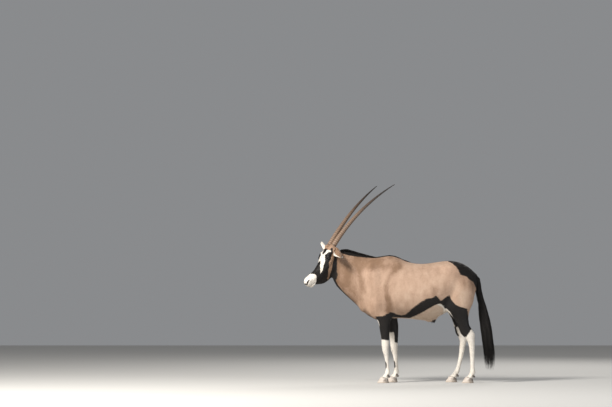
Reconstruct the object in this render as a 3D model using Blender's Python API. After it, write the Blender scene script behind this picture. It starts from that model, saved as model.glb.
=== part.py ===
"""A life-size still model of a standing gemsbok bull, head turned a little to its own left.

Metres, +Z up, floor at Z = 0. The animal faces -X and its left side is towards -Y.
The body is modelled whole from lofted sections and muscle masses, fused, then parted by
straight cuts into the pieces that a person would name.
"""
import math
import random

import bmesh
import bpy
from mathutils import Matrix, Vector

# Sizes of the whole animal
WITHERS_HEIGHT = 1.205
MIDPLANE_Y = -0.080
CUT_GAP = 0.0003
MERGE_DISTANCE = 0.000003
SEED = 7

# Fusing and thinning of the flesh
VOXEL = 0.008
SMOOTH_STEPS = 5
SWELL = 0.0015
SOFT_STEPS = 34
SOFT_LOW = 0.52
SOFT_ABOVE = 0.66
SOFT_FRONT = -0.60
SOFT_BEHIND = -0.45
FLESH_TRIANGLES = 4900

# Trunk and neck sections: x, top, bottom, half width, share of height at the widest, y
TRUNK_SECTIONS = [
    (-0.640, 1.228, 0.990, 0.082, 0.55, -0.045),
    (-0.600, 1.245, 0.912, 0.092, 0.50, -0.030),
    (-0.540, 1.234, 0.848, 0.104, 0.46, -0.018),
    (-0.460, 1.218, 0.775, 0.117, 0.43, -0.008),
    (-0.380, 1.198, 0.702, 0.137, 0.42, 0.0),
    (-0.300, 1.182, 0.628, 0.164, 0.42, 0.0),
    (-0.220, 1.184, 0.604, 0.186, 0.42, 0.0),
    (-0.120, WITHERS_HEIGHT - 0.004, 0.604, 0.204, 0.42, 0.0),
    (-0.030, 1.187, 0.606, 0.220, 0.44, 0.0),
    (0.080, 1.137, 0.602, 0.236, 0.46, 0.0),
    (0.200, 1.120, 0.588, 0.244, 0.48, 0.0),
    (0.300, 1.130, 0.594, 0.238, 0.50, 0.0),
    (0.400, 1.145, 0.640, 0.222, 0.52, 0.0),
    (0.500, 1.150, 0.690, 0.200, 0.55, 0.0),
    (0.600, 1.120, 0.735, 0.168, 0.55, 0.0),
    (0.680, 1.066, 0.800, 0.112, 0.55, 0.0),
    (0.722, 1.012, 0.880, 0.050, 0.55, 0.0),
]
TRUNK_SIDES = 28

# Head: turned to the left, face line slanting down, tipped a little
HEAD_TURN = math.radians(35.0)
FACE_SLOPE = math.radians(52.0)
HEAD_TIP = math.radians(2.5)
FOREHEAD = Vector((-0.690, -0.084, 1.275))
# Head sections: distance down the face, top and bottom depth, half width, jaw half width
HEAD_SECTIONS = [
    (-0.045, 0.020, 0.170, 0.066, 0.060),
    (-0.020, 0.006, 0.200, 0.078, 0.062),
    (0.020, 0.000, 0.212, 0.084, 0.060),
    (0.065, 0.004, 0.214, 0.086, 0.057),
    (0.110, 0.010, 0.214, 0.083, 0.053),
    (0.155, 0.018, 0.213, 0.072, 0.048),
    (0.205, 0.020, 0.208, 0.061, 0.041),
    (0.255, 0.018, 0.197, 0.054, 0.035),
    (0.300, 0.010, 0.176, 0.051, 0.031),
    (0.340, -0.003, 0.134, 0.052, 0.030),
    (0.375, -0.010, 0.098, 0.051, 0.032),
    (0.405, -0.005, 0.085, 0.045, 0.031),
    (0.425, 0.008, 0.074, 0.032, 0.024),
]
HEAD_SIDES = 24

# Eyes, in head distances: down the face, sideways, below the forehead line
EYE_PLACE = (0.096, 0.0745, 0.040)
EYE_RADIUS = 0.0185
EYE_SLANT = math.radians(-32.0)
LID_THICKNESS = 0.0042
LID_OPENING = (0.0205, 0.0125, 0.0110)

# The line of the mouth: down the face, sideways, below the forehead line, radius of the groove
MOUTH_LINE = [
    (0.300, 0.050, 0.086, 0.0018), (0.335, 0.051, 0.078, 0.0026), (0.370, 0.048, 0.070, 0.0030),
    (0.400, 0.038, 0.063, 0.0032), (0.422, 0.018, 0.060, 0.0032),
]

# Horns: in line with the face, curving back and spreading
HORN_START = (-0.036, 0.033, 0.031)
HORN_LENGTH = 0.885
HORN_RADIUS = 0.0245
HORN_TIP_RADIUS = 0.0028
HORN_LEAN = math.radians(2.5)
HORN_BEND = math.radians(24.0)
HORN_SPREAD = (math.radians(3.0), math.radians(11.5))
HORN_SUNK = 0.016
HORN_RINGS = 24
HORN_RINGED_SHARE = 0.56
HORN_RING_RISE = 0.0021
HORN_SIDES = 10

# Ears
EAR_LENGTH = 0.175
EAR_WIDTH = 0.088
EAR_WALL = 0.0036
EAR_ROOT_RADIUS = 0.017
EAR_STEPS = (8, 7)
# Half angle that the ear wraps round its hollow, and share of its full width, by share of length
EAR_WRAP = [(0.0, 2.55), (0.15, 2.10), (0.35, 1.55), (0.65, 1.10), (1.0, 0.70)]
EAR_OUTLINE = [
    (0.0, 0.40), (0.18, 0.62), (0.38, 0.92), (0.55, 1.0), (0.72, 0.80), (0.88, 0.42), (1.0, 0.08)]
EAR_PLACE = (-0.014, 0.080, 0.066)
EAR_SUNK = 0.012
EAR_PLUG = 0.016

# Foreleg sections: z, x, half length fore and aft, half width
FORELEG_SECTIONS = [
    (0.740, -0.165, 0.095, 0.062),
    (0.660, -0.158, 0.084, 0.058),
    (0.600, -0.158, 0.071, 0.050),
    (0.550, -0.152, 0.053, 0.043),
    (0.470, -0.146, 0.045, 0.036),
    (0.400, -0.143, 0.038, 0.034),
    (0.350, -0.143, 0.036, 0.035),
    (0.300, -0.141, 0.031, 0.031),
    (0.250, -0.132, 0.022, 0.022),
    (0.190, -0.126, 0.0195, 0.0195),
    (0.130, -0.121, 0.0205, 0.021),
    (0.095, -0.121, 0.0265, 0.028),
    (0.072, -0.132, 0.027, 0.030),
    (0.052, -0.147, 0.036, 0.036),
    (0.020, -0.160, 0.044, 0.040),
]
HINDLEG_SECTIONS = [
    (0.860, 0.560, 0.125, 0.082),
    (0.760, 0.545, 0.122, 0.076),
    (0.680, 0.548, 0.105, 0.064),
    (0.610, 0.568, 0.072, 0.049),
    (0.540, 0.592, 0.059, 0.040),
    (0.490, 0.618, 0.064, 0.034),
    (0.460, 0.634, 0.068, 0.032),
    (0.425, 0.652, 0.049, 0.033),
    (0.380, 0.667, 0.034, 0.029),
    (0.300, 0.673, 0.0265, 0.0235),
    (0.200, 0.676, 0.0225, 0.0215),
    (0.135, 0.678, 0.0225, 0.0225),
    (0.098, 0.678, 0.0280, 0.029),
    (0.073, 0.666, 0.0285, 0.031),
    (0.052, 0.648, 0.0370, 0.037),
    (0.020, 0.636, 0.0440, 0.040),
]
LEG_SIDES = 16
# Each leg: sections, side, y at the top and at the foot, and the shift in x at heights
LEGS = {
    "front_left": (FORELEG_SECTIONS, -0.118, -0.098, [(0.0, 0.0), (0.8, 0.0)]),
    "front_right": (FORELEG_SECTIONS, 0.118, 0.098, [(0.0, 0.088), (0.55, 0.088), (0.74, 0.02)]),
    "hind_left": (HINDLEG_SECTIONS, -0.120, -0.105, [(0.0, 0.0), (0.9, 0.0)]),
    "hind_right": (HINDLEG_SECTIONS, 0.120, 0.105, [
        (0.0, -0.146), (0.09, -0.140), (0.15, -0.118), (0.25, -0.092), (0.36, -0.070),
        (0.46, -0.036), (0.60, -0.012), (0.80, 0.0)]),
}

# Hooves: two claws and two dewclaws on each foot
CLAW_LENGTH = 0.108
CLAW_WIDTH = 0.036
CLAW_INNER = 0.0030
CLAW_TAPER = 0.50
CLAW_TOE_REACH = 0.068
CLAW_SIDES = 14
# Each level of a claw: share of its height, set-back of the toe, share of length and of width
CLAW_LEVELS = [
    (0.0, 0.0, 1.0, 0.96), (0.12, 0.002, 0.99, 1.0), (0.55, 0.018, 0.80, 0.97), (1.0, 0.034, 0.64, 0.90)]
CORONET_HEIGHT = 0.046
CORONET_SLOPE = 0.32
DEWCLAW_LENGTH = 0.034
DEWCLAW_RADIUS = 0.0105
DEWCLAW_SPACING = 0.036

# Tail: a core, and flat locks on it
TAIL_CUT_X = 0.727
TAIL_CORE = [
    (0.7273, 0.974, 0.030), (0.741, 0.960, 0.026), (0.747, 0.925, 0.020), (0.755, 0.880, 0.018),
    (0.762, 0.810, 0.027), (0.770, 0.730, 0.033), (0.780, 0.650, 0.031), (0.790, 0.590, 0.020),
    (0.796, 0.565, 0.008),
]
TAIL_MIDDLE = [
    (0.95, 0.746), (0.88, 0.755), (0.80, 0.764), (0.70, 0.775), (0.60, 0.789), (0.50, 0.814),
    (0.40, 0.829), (0.30, 0.833), (0.20, 0.842), (0.10, 0.846),
]
TAIL_LOCKS = 22
TAIL_SPREAD_X = 0.060
TAIL_SPREAD_Y = 0.056
TAIL_FLARES = (-0.35, -0.2, 0.1, 0.4)
TAIL_TIP_HIGH = 0.300
TAIL_TIP_LOW = 0.120

# Mane: two staggered rows of locks along the crest
MANE_LOCKS = 34
MANE_FRONT_X = -0.590
MANE_REAR_X = -0.170
MANE_RISE = 0.018
MANE_LENGTH = 0.060
MANE_ROOT_DEPTH = 0.018
MANE_CLEARANCE = 0.006

# Where the flesh is parted: outlines in X and Z
HEAD_CUT = [(-0.612, 0.900), (-0.566, 1.330)]
HEAD_CUT_TURN = math.radians(16.0)
NECK_CUT = [(-0.430, 0.650), (-0.215, 1.260)]
FORELEG_CUT = [(-0.340, 0.592), (0.035, 0.592), (0.035, -0.050), (-0.340, -0.050)]
HINDLEG_CUT = [
    (0.355, 0.655), (0.760, 0.925), (0.950, 0.925), (0.950, -0.050), (0.380, -0.050), (0.400, 0.570)]

# Colours of the materials: red, green, blue, roughness
COLOURS = {
    "coat_fawn": (0.50, 0.36, 0.27, 0.9),
    "hair_black": (0.015, 0.012, 0.012, 0.75),
    "coat_white": (0.80, 0.76, 0.70, 0.9),
    "eye_gloss": (0.02, 0.012, 0.008, 0.15),
    "horn_dark": (0.06, 0.045, 0.035, 0.5),
    "hoof_black": (0.02, 0.018, 0.018, 0.5),
}


def clear_scene():
    """Empty the scene of objects."""
    for old in list(bpy.data.objects):
        bpy.data.objects.remove(old, do_unlink=True)


def material(name):
    """One plain material for each finish, made once."""
    found = bpy.data.materials.get(name)
    if found:
        return found
    red, green, blue, rough = COLOURS[name]
    made = bpy.data.materials.new(name)
    made.use_nodes = True
    shader = made.node_tree.nodes["Principled BSDF"]
    shader.inputs["Base Color"].default_value = (red, green, blue, 1.0)
    shader.inputs["Roughness"].default_value = rough
    shader.inputs["Metallic"].default_value = 0.0
    return made


def blend(table, at):
    """Read a table of (place, value) pairs at a place, with straight runs between."""
    ordered = sorted(table)
    if at <= ordered[0][0]:
        return ordered[0][1]
    for low, high in zip(ordered, ordered[1:]):
        if at <= high[0]:
            share = (at - low[0]) / (high[0] - low[0])
            return low[1] + share * (high[1] - low[1])
    return ordered[-1][1]


def smooth_rows(rows, steps):
    """Rows of numbers read along a smooth curve through them, with steps new rows in each gap."""
    result = []
    last = len(rows) - 1
    for index in range(last):
        before = rows[max(index - 1, 0)]
        start = rows[index]
        end = rows[index + 1]
        after = rows[min(index + 2, last)]
        for step in range(steps):
            t = step / steps
            row = []
            for a, b, c, d in zip(before, start, end, after):
                bend = (2 * a - 5 * b + 4 * c - d) * t * t + (3 * b - a - 3 * c + d) * t ** 3
                row.append(b + 0.5 * ((c - a) * t + bend))
            result.append(tuple(row))
    result.append(tuple(rows[-1]))
    return result


def object_from(bm, name, finish):
    """Turn a bmesh into an object, its faces pointing out."""
    bmesh.ops.recalc_face_normals(bm, faces=bm.faces[:])
    mesh = bpy.data.meshes.new(name)
    bm.to_mesh(mesh)
    bm.free()
    made = bpy.data.objects.new(name, mesh)
    bpy.context.scene.collection.objects.link(made)
    made.data.materials.append(material(finish))
    return made


def loft(name, rings, finish="coat_fawn"):
    """A closed skin through rings of points: a circle's face, drawn out from ring to ring."""
    bm = bmesh.new()
    bmesh.ops.create_circle(bm, cap_ends=True, radius=1.0, segments=len(rings[0]))
    bm.faces.ensure_lookup_table()
    cap = bm.faces[0]
    for vert, place in zip(cap.verts, rings[0]):
        vert.co = place
    for index, ring in enumerate(rings[1:]):
        drawn = bmesh.ops.extrude_face_region(bm, geom=[cap])["geom"]
        if index > 0:
            bmesh.ops.delete(bm, geom=[cap], context="FACES_ONLY")
        cap = next(item for item in drawn if isinstance(item, bmesh.types.BMFace))
        for vert, place in zip(cap.verts, ring):
            vert.co = place
    bmesh.ops.triangulate(bm, faces=[face for face in bm.faces if len(face.verts) > 4])
    return object_from(bm, name, finish)


def ellipsoid(name, centre, radii, turn=0.0, detail=3):
    """An egg-shaped mass, turned about the side-to-side axis."""
    bm = bmesh.new()
    place = Matrix.Translation(centre) @ Matrix.Rotation(turn, 4, "Y") @ Matrix.Diagonal((*radii, 1.0))
    bmesh.ops.create_icosphere(bm, subdivisions=detail, radius=1.0, matrix=place)
    return object_from(bm, name, "coat_fawn")


def box(name, low, high, place=None):
    """A box between two corners, for cutting."""
    bm = bmesh.new()
    middle = [(a + b) / 2 for a, b in zip(low, high)]
    size = [b - a for a, b in zip(low, high)]
    shape = Matrix.Translation(middle) @ Matrix.Diagonal((*size, 1.0))
    bmesh.ops.create_cube(bm, size=1.0, matrix=(place or Matrix()) @ shape)
    return object_from(bm, name, "coat_fawn")


def evaluated_copy(source, name, finish):
    """A new object with the modifiers of another applied to its mesh."""
    ready = source.evaluated_get(bpy.context.evaluated_depsgraph_get())
    mesh = bpy.data.meshes.new_from_object(ready)
    made = bpy.data.objects.new(name, mesh)
    bpy.context.scene.collection.objects.link(made)
    mesh.materials.clear()
    mesh.materials.append(material(finish))
    return made


def remove(objects):
    """Delete objects that have done their work."""
    for item in objects:
        bpy.data.objects.remove(item, do_unlink=True)


def apply_boolean(target, tool, operation, solver="EXACT"):
    """Cut or join one object with another, and keep the result under the first one's name."""
    modifier = target.modifiers.new("cut", "BOOLEAN")
    modifier.operation = operation
    modifier.object = tool
    modifier.solver = solver
    name = target.name
    finish = target.data.materials[0].name
    target.name = name + "_old"
    result = evaluated_copy(target, name, finish)
    remove([target])
    return result


def unite(target, pieces, solver="MANIFOLD"):
    """Fuse a collection of closed pieces with an object in one union."""
    group = bpy.data.collections.new(target.name + "_pieces")
    bpy.context.scene.collection.children.link(group)
    for piece in pieces:
        bpy.context.scene.collection.objects.unlink(piece)
        group.objects.link(piece)
    modifier = target.modifiers.new("fuse", "BOOLEAN")
    modifier.operation = "UNION"
    modifier.operand_type = "COLLECTION"
    modifier.collection = group
    modifier.solver = solver
    name = target.name
    finish = target.data.materials[0].name
    target.name = name + "_old"
    result = evaluated_copy(target, name, finish)
    remove([target] + list(pieces))
    bpy.data.collections.remove(group)
    return result


def keep_largest(target):
    """Keep only the closed surface with the most room inside."""
    bm = bmesh.new()
    bm.from_mesh(target.data)
    bmesh.ops.remove_doubles(bm, verts=bm.verts[:], dist=MERGE_DISTANCE)
    bmesh.ops.dissolve_degenerate(bm, edges=bm.edges[:], dist=MERGE_DISTANCE)
    bmesh.ops.triangulate(bm, faces=bm.faces[:])
    bm.verts.ensure_lookup_table()
    groups = []
    seen = set()
    for start in bm.faces:
        if start in seen:
            continue
        seen.add(start)
        group = [start]
        for face in group:
            for edge in face.edges:
                for other in edge.link_faces:
                    if other not in seen:
                        seen.add(other)
                        group.append(other)
        room = sum(face.verts[0].co.dot(face.verts[1].co.cross(face.verts[2].co)) for face in group)
        groups.append((abs(room), group))
    groups.sort(key=lambda pair: pair[0], reverse=True)
    loose = [face for _, group in groups[1:] for face in group]
    bmesh.ops.delete(bm, geom=loose, context="FACES")
    bm.to_mesh(target.data)
    bm.free()
    return target


def tube_rings(path, radii, sides, squash=1.0):
    """Rings square to a path through (x, y, z) points."""
    rings = []
    count = len(path)
    for index, (centre, radius) in enumerate(zip(path, radii)):
        ahead = path[min(index + 1, count - 1)] - path[max(index - 1, 0)]
        along = ahead.normalized()
        side = along.cross(Vector((1.0, 0.0, 0.02))).normalized()
        other = along.cross(side).normalized()
        ring = []
        for step in range(sides):
            angle = 2 * math.pi * step / sides
            reach = side * math.cos(angle) * radius + other * math.sin(angle) * radius * squash
            ring.append(centre + reach)
        rings.append(ring)
    return rings


def trunk():
    """Trunk and neck as one loft of upright, egg-shaped sections."""
    rings = []
    for x, top, bottom, half, widest, y in smooth_rows(TRUNK_SECTIONS, 2):
        height = top - bottom
        middle = bottom + height * widest
        ring = []
        for step in range(TRUNK_SIDES):
            angle = 2 * math.pi * step / TRUNK_SIDES
            rise = math.sin(angle)
            reach = math.cos(angle)
            half_here = half * (1.0 - 0.10 * max(rise, 0.0))
            across = math.copysign(abs(reach) ** 0.92, reach) * half_here
            up = (top - middle) if rise > 0 else (middle - bottom)
            ring.append(Vector((x, MIDPLANE_Y + y + across, middle + up * rise)))
        rings.append(ring)
    return loft("trunk", rings)


def head_place():
    """Matrix of the head: X down the face, Y to its left, Z out of the forehead."""
    forward = Vector((-math.cos(HEAD_TURN), -math.sin(HEAD_TURN), 0.0))
    left = Vector((math.sin(HEAD_TURN), -math.cos(HEAD_TURN), 0.0))
    left = (left + Vector((0.0, 0.0, math.sin(HEAD_TIP)))).normalized()
    face = forward * math.cos(FACE_SLOPE) - Vector((0.0, 0.0, math.sin(FACE_SLOPE)))
    outward = face.cross(left).normalized()
    left = outward.cross(face).normalized()
    turned = Matrix((face.normalized(), left, outward)).transposed().to_4x4()
    return Matrix.Translation(FOREHEAD + Vector((0.0, MIDPLANE_Y, 0.0))) @ turned


def in_head(down, side, depth):
    """A world place from distances down the face, to the left and below the forehead."""
    return head_place() @ Vector((down, side, -depth))


def head_mass():
    """The head's main loft: brow, cheeks, jaw and muzzle."""
    place = head_place()
    rings = []
    for down, top, bottom, half, jaw in smooth_rows(HEAD_SECTIONS, 2):
        middle = top + (bottom - top) * 0.36
        ring = []
        for step in range(HEAD_SIDES):
            angle = 2 * math.pi * step / HEAD_SIDES
            rise = math.sin(angle)
            reach = math.cos(angle)
            if rise > 0:
                depth = middle - (middle - top) * rise
                half_here = half
            else:
                depth = middle - (bottom - middle) * rise
                half_here = half + (jaw - half) * min(1.0, -rise * 1.1)
            across = math.copysign(abs(reach) ** 0.78, reach) * half_here
            ring.append(place @ Vector((down, across, -depth)))
        rings.append(ring)
    return loft("head_mass", rings)


def leg_centre(name, height):
    """Middle of a leg at a height."""
    sections, y_top, y_foot, shifts = LEGS[name]
    x = blend([(row[0], row[1]) for row in sections], height) + blend(shifts, height)
    y = y_foot + (y_top - y_foot) * min(max((height - 0.05) / 0.6, 0.0), 1.0)
    return x, MIDPLANE_Y + y


def leg_mass(name):
    """One leg from inside the trunk down past the coronet."""
    rings = []
    for height, _, long, wide in smooth_rows(LEGS[name][0], 2):
        x, y = leg_centre(name, height)
        ring = []
        for step in range(LEG_SIDES):
            angle = 2 * math.pi * step / LEG_SIDES
            ring.append(Vector((x + math.cos(angle) * long, y + math.sin(angle) * wide, height)))
        rings.append(ring)
    return loft("mass_" + name, rings)


def muscles():
    """Masses that break the plain loft: shoulders, breast, hips, thighs and buttocks."""
    made = []
    # centre x, side, z; radii; lean
    both = {
        "shoulder_blade": ((-0.212, 0.095, 0.930), (0.105, 0.088, 0.205), -22.0),
        "upper_arm": ((-0.205, 0.112, 0.755), (0.105, 0.080, 0.160), 14.0),
        "breast": ((-0.296, 0.062, 0.770), (0.078, 0.072, 0.125), 36.0),
        "elbow": ((-0.118, 0.112, 0.655), (0.052, 0.050, 0.080), 0.0),
        "hip": ((0.480, 0.100, 1.010), (0.130, 0.098, 0.110), 8.0),
        "thigh": ((0.560, 0.110, 0.850), (0.138, 0.090, 0.215), -4.0),
        "buttock": ((0.640, 0.064, 0.890), (0.075, 0.070, 0.160), 6.0),
        "stifle": ((0.484, 0.122, 0.730), (0.062, 0.056, 0.120), -18.0),
    }
    for name, (centre, radii, lean) in both.items():
        for side, sign in (("left", -1.0), ("right", 1.0)):
            middle = (centre[0], MIDPLANE_Y + sign * centre[1], centre[2])
            made.append(ellipsoid(f"{name}_{side}", middle, radii, math.radians(lean)))
    made.append(ellipsoid("brisket", (-0.200, MIDPLANE_Y, 0.645), (0.085, 0.075, 0.055), 0.0))
    made.append(ellipsoid("sheath", (0.295, MIDPLANE_Y, 0.592), (0.062, 0.020, 0.026), math.radians(-8.0)))
    made.append(ellipsoid("scrotum", (0.520, MIDPLANE_Y, 0.668), (0.038, 0.034, 0.062), 0.0))
    return made


def head_details():
    """Masses fused into the head: brows, horn bases, cheeks, nose, lips and ear roots."""
    made = []
    place = head_place()
    turned = place.to_3x3().to_4x4()
    pads = {
        "brow": ((0.072, 0.062, 0.026), (0.040, 0.022, 0.018)),
        "cheek": ((0.120, 0.052, 0.120), (0.075, 0.026, 0.062)),
        "horn_base": ((-0.020, 0.034, 0.026), (0.034, 0.033, 0.033)),
        "ear_root": ((-0.012, 0.074, 0.066), (0.026, 0.022, 0.026)),
        "nostril_wing": ((0.388, 0.030, 0.022), (0.026, 0.018, 0.024)),
        "lip": ((0.365, 0.026, 0.074), (0.045, 0.024, 0.018)),
    }
    for name, (where, radii) in pads.items():
        for side, sign in (("left", 1.0), ("right", -1.0)):
            bm = bmesh.new()
            centre = place @ Vector((where[0], sign * where[1], -where[2]))
            shape = Matrix.Translation(centre) @ turned @ Matrix.Diagonal((*radii, 1.0))
            bmesh.ops.create_icosphere(bm, subdivisions=3, radius=1.0, matrix=shape)
            made.append(object_from(bm, f"{name}_{side}", "coat_fawn"))
    bm = bmesh.new()
    chin = Matrix.Translation(in_head(0.386, 0.0, 0.084))
    shape = chin @ turned @ Matrix.Diagonal((0.030, 0.026, 0.016, 1.0))
    bmesh.ops.create_icosphere(bm, subdivisions=3, radius=1.0, matrix=shape)
    made.append(object_from(bm, "chin", "coat_fawn"))
    return made


def dock_mass():
    """The root of the tail, inside the rump and a little past the cut."""
    middle = [(0.660, 1.010), (0.700, 0.998), (0.735, 0.968), (0.750, 0.930)]
    path = [Vector((x, MIDPLANE_Y, z)) for x, z in middle]
    return loft("dock", tube_rings(path, [0.050, 0.042, 0.031, 0.022], 14))


def soften_trunk(target):
    """Ease the muscle masses of the trunk and thighs into one another, more than legs and face."""
    bm = bmesh.new()
    bm.from_mesh(target.data)
    for step in range(SOFT_STEPS):
        lowest = SOFT_LOW + (SOFT_ABOVE - SOFT_LOW) * step / SOFT_STEPS
        foremost = SOFT_FRONT + (SOFT_BEHIND - SOFT_FRONT) * step / SOFT_STEPS
        soft = [vert for vert in bm.verts if vert.co.z > lowest and vert.co.x > foremost]
        bmesh.ops.smooth_vert(
            bm, verts=soft, factor=0.5, use_axis_x=True, use_axis_y=True, use_axis_z=True)
    bm.to_mesh(target.data)
    bm.free()


def fused_flesh():
    """All flesh as one closed, smoothed and thinned surface."""
    pieces = [trunk(), head_mass(), dock_mass()] + [leg_mass(name) for name in LEGS]
    pieces += muscles() + head_details()
    bm = bmesh.new()
    for piece in pieces:
        bm.from_mesh(piece.data)
    whole = object_from(bm, "flesh_parts", "coat_fawn")
    remove(pieces)
    fuse = whole.modifiers.new("fuse", "REMESH")
    fuse.mode = "VOXEL"
    fuse.voxel_size = VOXEL
    even = whole.modifiers.new("even", "SMOOTH")
    even.factor = 0.5
    even.iterations = SMOOTH_STEPS
    swell = whole.modifiers.new("swell", "DISPLACE")
    swell.strength = SWELL
    swell.mid_level = 0.0
    smooth = evaluated_copy(whole, "flesh_smooth", "coat_fawn")
    remove([whole])
    soften_trunk(smooth)
    count = sum(len(face.vertices) - 2 for face in smooth.data.polygons)
    thin = smooth.modifiers.new("thin", "DECIMATE")
    thin.ratio = FLESH_TRIANGLES / count
    thin.use_collapse_triangulate = True
    flesh = evaluated_copy(smooth, "flesh", "coat_fawn")
    remove([smooth])
    return keep_largest(flesh)


def plane_place(point, normal, side=Vector((0.0, 1.0, 0.0))):
    """A matrix whose Z axis is a cut's normal and whose Y axis runs across the body."""
    up = Vector(normal).normalized()
    across = (side - up * side.dot(up)).normalized()
    along = across.cross(up).normalized()
    turned = Matrix((along, across, up)).transposed().to_4x4()
    return Matrix.Translation(point) @ turned


def widened(outline, grow):
    """An outline of (x, z) corners, listed clockwise as seen from -Y, moved out on every edge."""
    result = []
    count = len(outline)
    for index, here in enumerate(outline):
        before = Vector(here) - Vector(outline[index - 1])
        after = Vector(outline[(index + 1) % count]) - Vector(here)
        first = Vector((-before.y, before.x)).normalized()
        second = Vector((-after.y, after.x)).normalized()
        result.append(Vector(here) + (first + second) * grow / (1.0 + first.dot(second)))
    return result


def prism(name, region, grow):
    """A cutting solid: an outline in X and Z, carried across the body, turned at its last corner."""
    outline, low, high, turn = region
    pivot = Vector((outline[-1][0], MIDPLANE_Y, 0.0))
    turned = Matrix.Translation(pivot) @ Matrix.Rotation(turn, 4, "Z") @ Matrix.Translation(-pivot)
    rings = []
    for y in (low - grow, high + grow):
        rings.append([turned @ Vector((x, y, z)) for x, z in widened(outline, grow)])
    return loft(name, rings)


def cut_regions():
    """The straight-sided region of each fleshy piece that is parted from the torso."""
    middle = MIDPLANE_Y
    near = (middle - 0.36, middle - CUT_GAP / 2)
    far = (middle + CUT_GAP / 2, middle + 0.36)
    head = HEAD_CUT + [(-1.00, 1.45), (-1.00, 0.80)]
    neck = NECK_CUT + [(-0.90, 1.40), (-0.90, 0.60)]
    return {
        "head": (head[::-1], middle - 0.36, middle + 0.36, HEAD_CUT_TURN),
        "neck": (neck[::-1], middle - 0.36, middle + 0.36, 0.0),
        "leg_front_left": (FORELEG_CUT, *near, 0.0),
        "leg_front_right": (FORELEG_CUT, *far, 0.0),
        "leg_hind_left": (HINDLEG_CUT, *near, 0.0),
        "leg_hind_right": (HINDLEG_CUT, *far, 0.0),
    }


def duplicate(source, name):
    """A copy of an object with its own mesh."""
    made = bpy.data.objects.new(name, source.data.copy())
    bpy.context.scene.collection.objects.link(made)
    return made


def part_flesh(flesh):
    """Part the fused flesh into head, neck, torso and four legs."""
    regions = cut_regions()
    nodes = {}
    rest = flesh
    for name, region in regions.items():
        tool = prism("tool", region, 0.0)
        piece = duplicate(rest, name)
        nodes[name] = keep_largest(apply_boolean(piece, tool, "INTERSECT"))
        remove([tool])
        tool = prism("tool", region, CUT_GAP)
        rest = keep_largest(apply_boolean(rest, tool, "DIFFERENCE"))
        remove([tool])
    tool = box("tool", (TAIL_CUT_X, MIDPLANE_Y - 0.08, 0.90), (0.85, MIDPLANE_Y + 0.08, 1.06))
    rest = keep_largest(apply_boolean(rest, tool, "DIFFERENCE"))
    remove([tool])
    rest.name = "torso"
    nodes["torso"] = rest
    return nodes


def coronet_plane(name):
    """Place and slope of the hoof's upper edge on one foot: higher at the toe."""
    x, y = leg_centre(name, CORONET_HEIGHT)
    return plane_place((x, y, CORONET_HEIGHT), (CORONET_SLOPE, 0.0, 1.0))


def cut_feet(nodes):
    """Cut each leg off at the coronet, where the claws begin."""
    for name in LEGS:
        tool = box("tool", (-0.12, -0.09, -0.12), (0.12, 0.09, 0.0), coronet_plane(name))
        node = "leg_" + name
        nodes[node] = keep_largest(apply_boolean(nodes[node], tool, "DIFFERENCE"))
        remove([tool])


def claw(name, foot, side):
    """One half of a cloven hoof: straight inside, narrow at the toe, flat below, sloped at the coronet."""
    x, middle = leg_centre(foot, CORONET_HEIGHT)
    toe = x - CLAW_TOE_REACH
    rings = []
    for share, back, length_share, width_share in CLAW_LEVELS:
        length = CLAW_LENGTH * length_share
        ring = []
        for step in range(CLAW_SIDES):
            angle = 2 * math.pi * step / CLAW_SIDES
            along = 0.5 - 0.5 * math.cos(angle)
            bulge = math.sin(angle) * side
            if bulge > 0:
                across = CLAW_INNER + CLAW_WIDTH * width_share * (0.25 + 0.75 * bulge ** 0.8)
            else:
                across = CLAW_INNER + CLAW_WIDTH * width_share * 0.25 * (1.0 + bulge)
            narrow = 0.55 + 0.45 * min(along / CLAW_TAPER, 1.0)
            px = toe + back + length * along
            top = CORONET_HEIGHT - CUT_GAP - CORONET_SLOPE * (px - x)
            ring.append(Vector((px, middle + side * across * narrow, share * top)))
        rings.append(ring)
    return loft(name, rings, "hoof_black")


def dewclaw_path(foot, side, grow):
    """Axis and radii of one dewclaw, behind the fetlock."""
    x, y = leg_centre(foot, 0.070)
    root = Vector((x + 0.012, y + side * DEWCLAW_SPACING / 2, 0.072))
    along = Vector((0.78, side * 0.16, -0.62)).normalized()
    path = []
    radii = []
    for share, radius, end in ((-0.02, 0.9, -1.0), (0.45, 1.0, 0.0), (0.8, 0.78, 0.0), (1.0, 0.34, 1.0)):
        path.append(root + along * (DEWCLAW_LENGTH * share + grow * end))
        radii.append(DEWCLAW_RADIUS * radius + grow)
    return path, radii


def hooves(nodes):
    """Eight claws and eight dewclaws; each dewclaw has its own socket in the leg."""
    for foot in LEGS:
        for label, side in (("a", -1.0), ("b", 1.0)):
            name = f"claw_{foot}_{label}"
            nodes[name] = keep_largest(claw(name, foot, side))
            name = f"dewclaw_{foot}_{label}"
            path, radii = dewclaw_path(foot, side, 0.0)
            nodes[name] = keep_largest(loft(name, tube_rings(path, radii, 8), "hoof_black"))
            path, radii = dewclaw_path(foot, side, CUT_GAP)
            tool = loft("tool", tube_rings(path, radii, 8))
            leg = "leg_" + foot
            nodes[leg] = keep_largest(apply_boolean(nodes[leg], tool, "DIFFERENCE"))
            remove([tool])


def horn_frame(side, distance):
    """Centre of a horn, in head distances, at a distance along it."""
    steps = 60
    down, across, depth = HORN_START
    length = HORN_LENGTH + HORN_SUNK
    travelled = 0.0
    place = Vector((down + HORN_SUNK, side * across, -depth))
    while travelled < distance - 1e-9:
        step = min(length / steps, distance - travelled)
        share = max(travelled - HORN_SUNK, 0.0) / HORN_LENGTH
        bend = HORN_BEND * share - HORN_LEAN
        spread = HORN_SPREAD[0] + (HORN_SPREAD[1] - HORN_SPREAD[0]) * share
        ahead = Vector((-math.cos(bend), side * math.tan(spread), -math.sin(bend)))
        place = place + ahead.normalized() * step
        travelled += step
    return head_place() @ place


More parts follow.
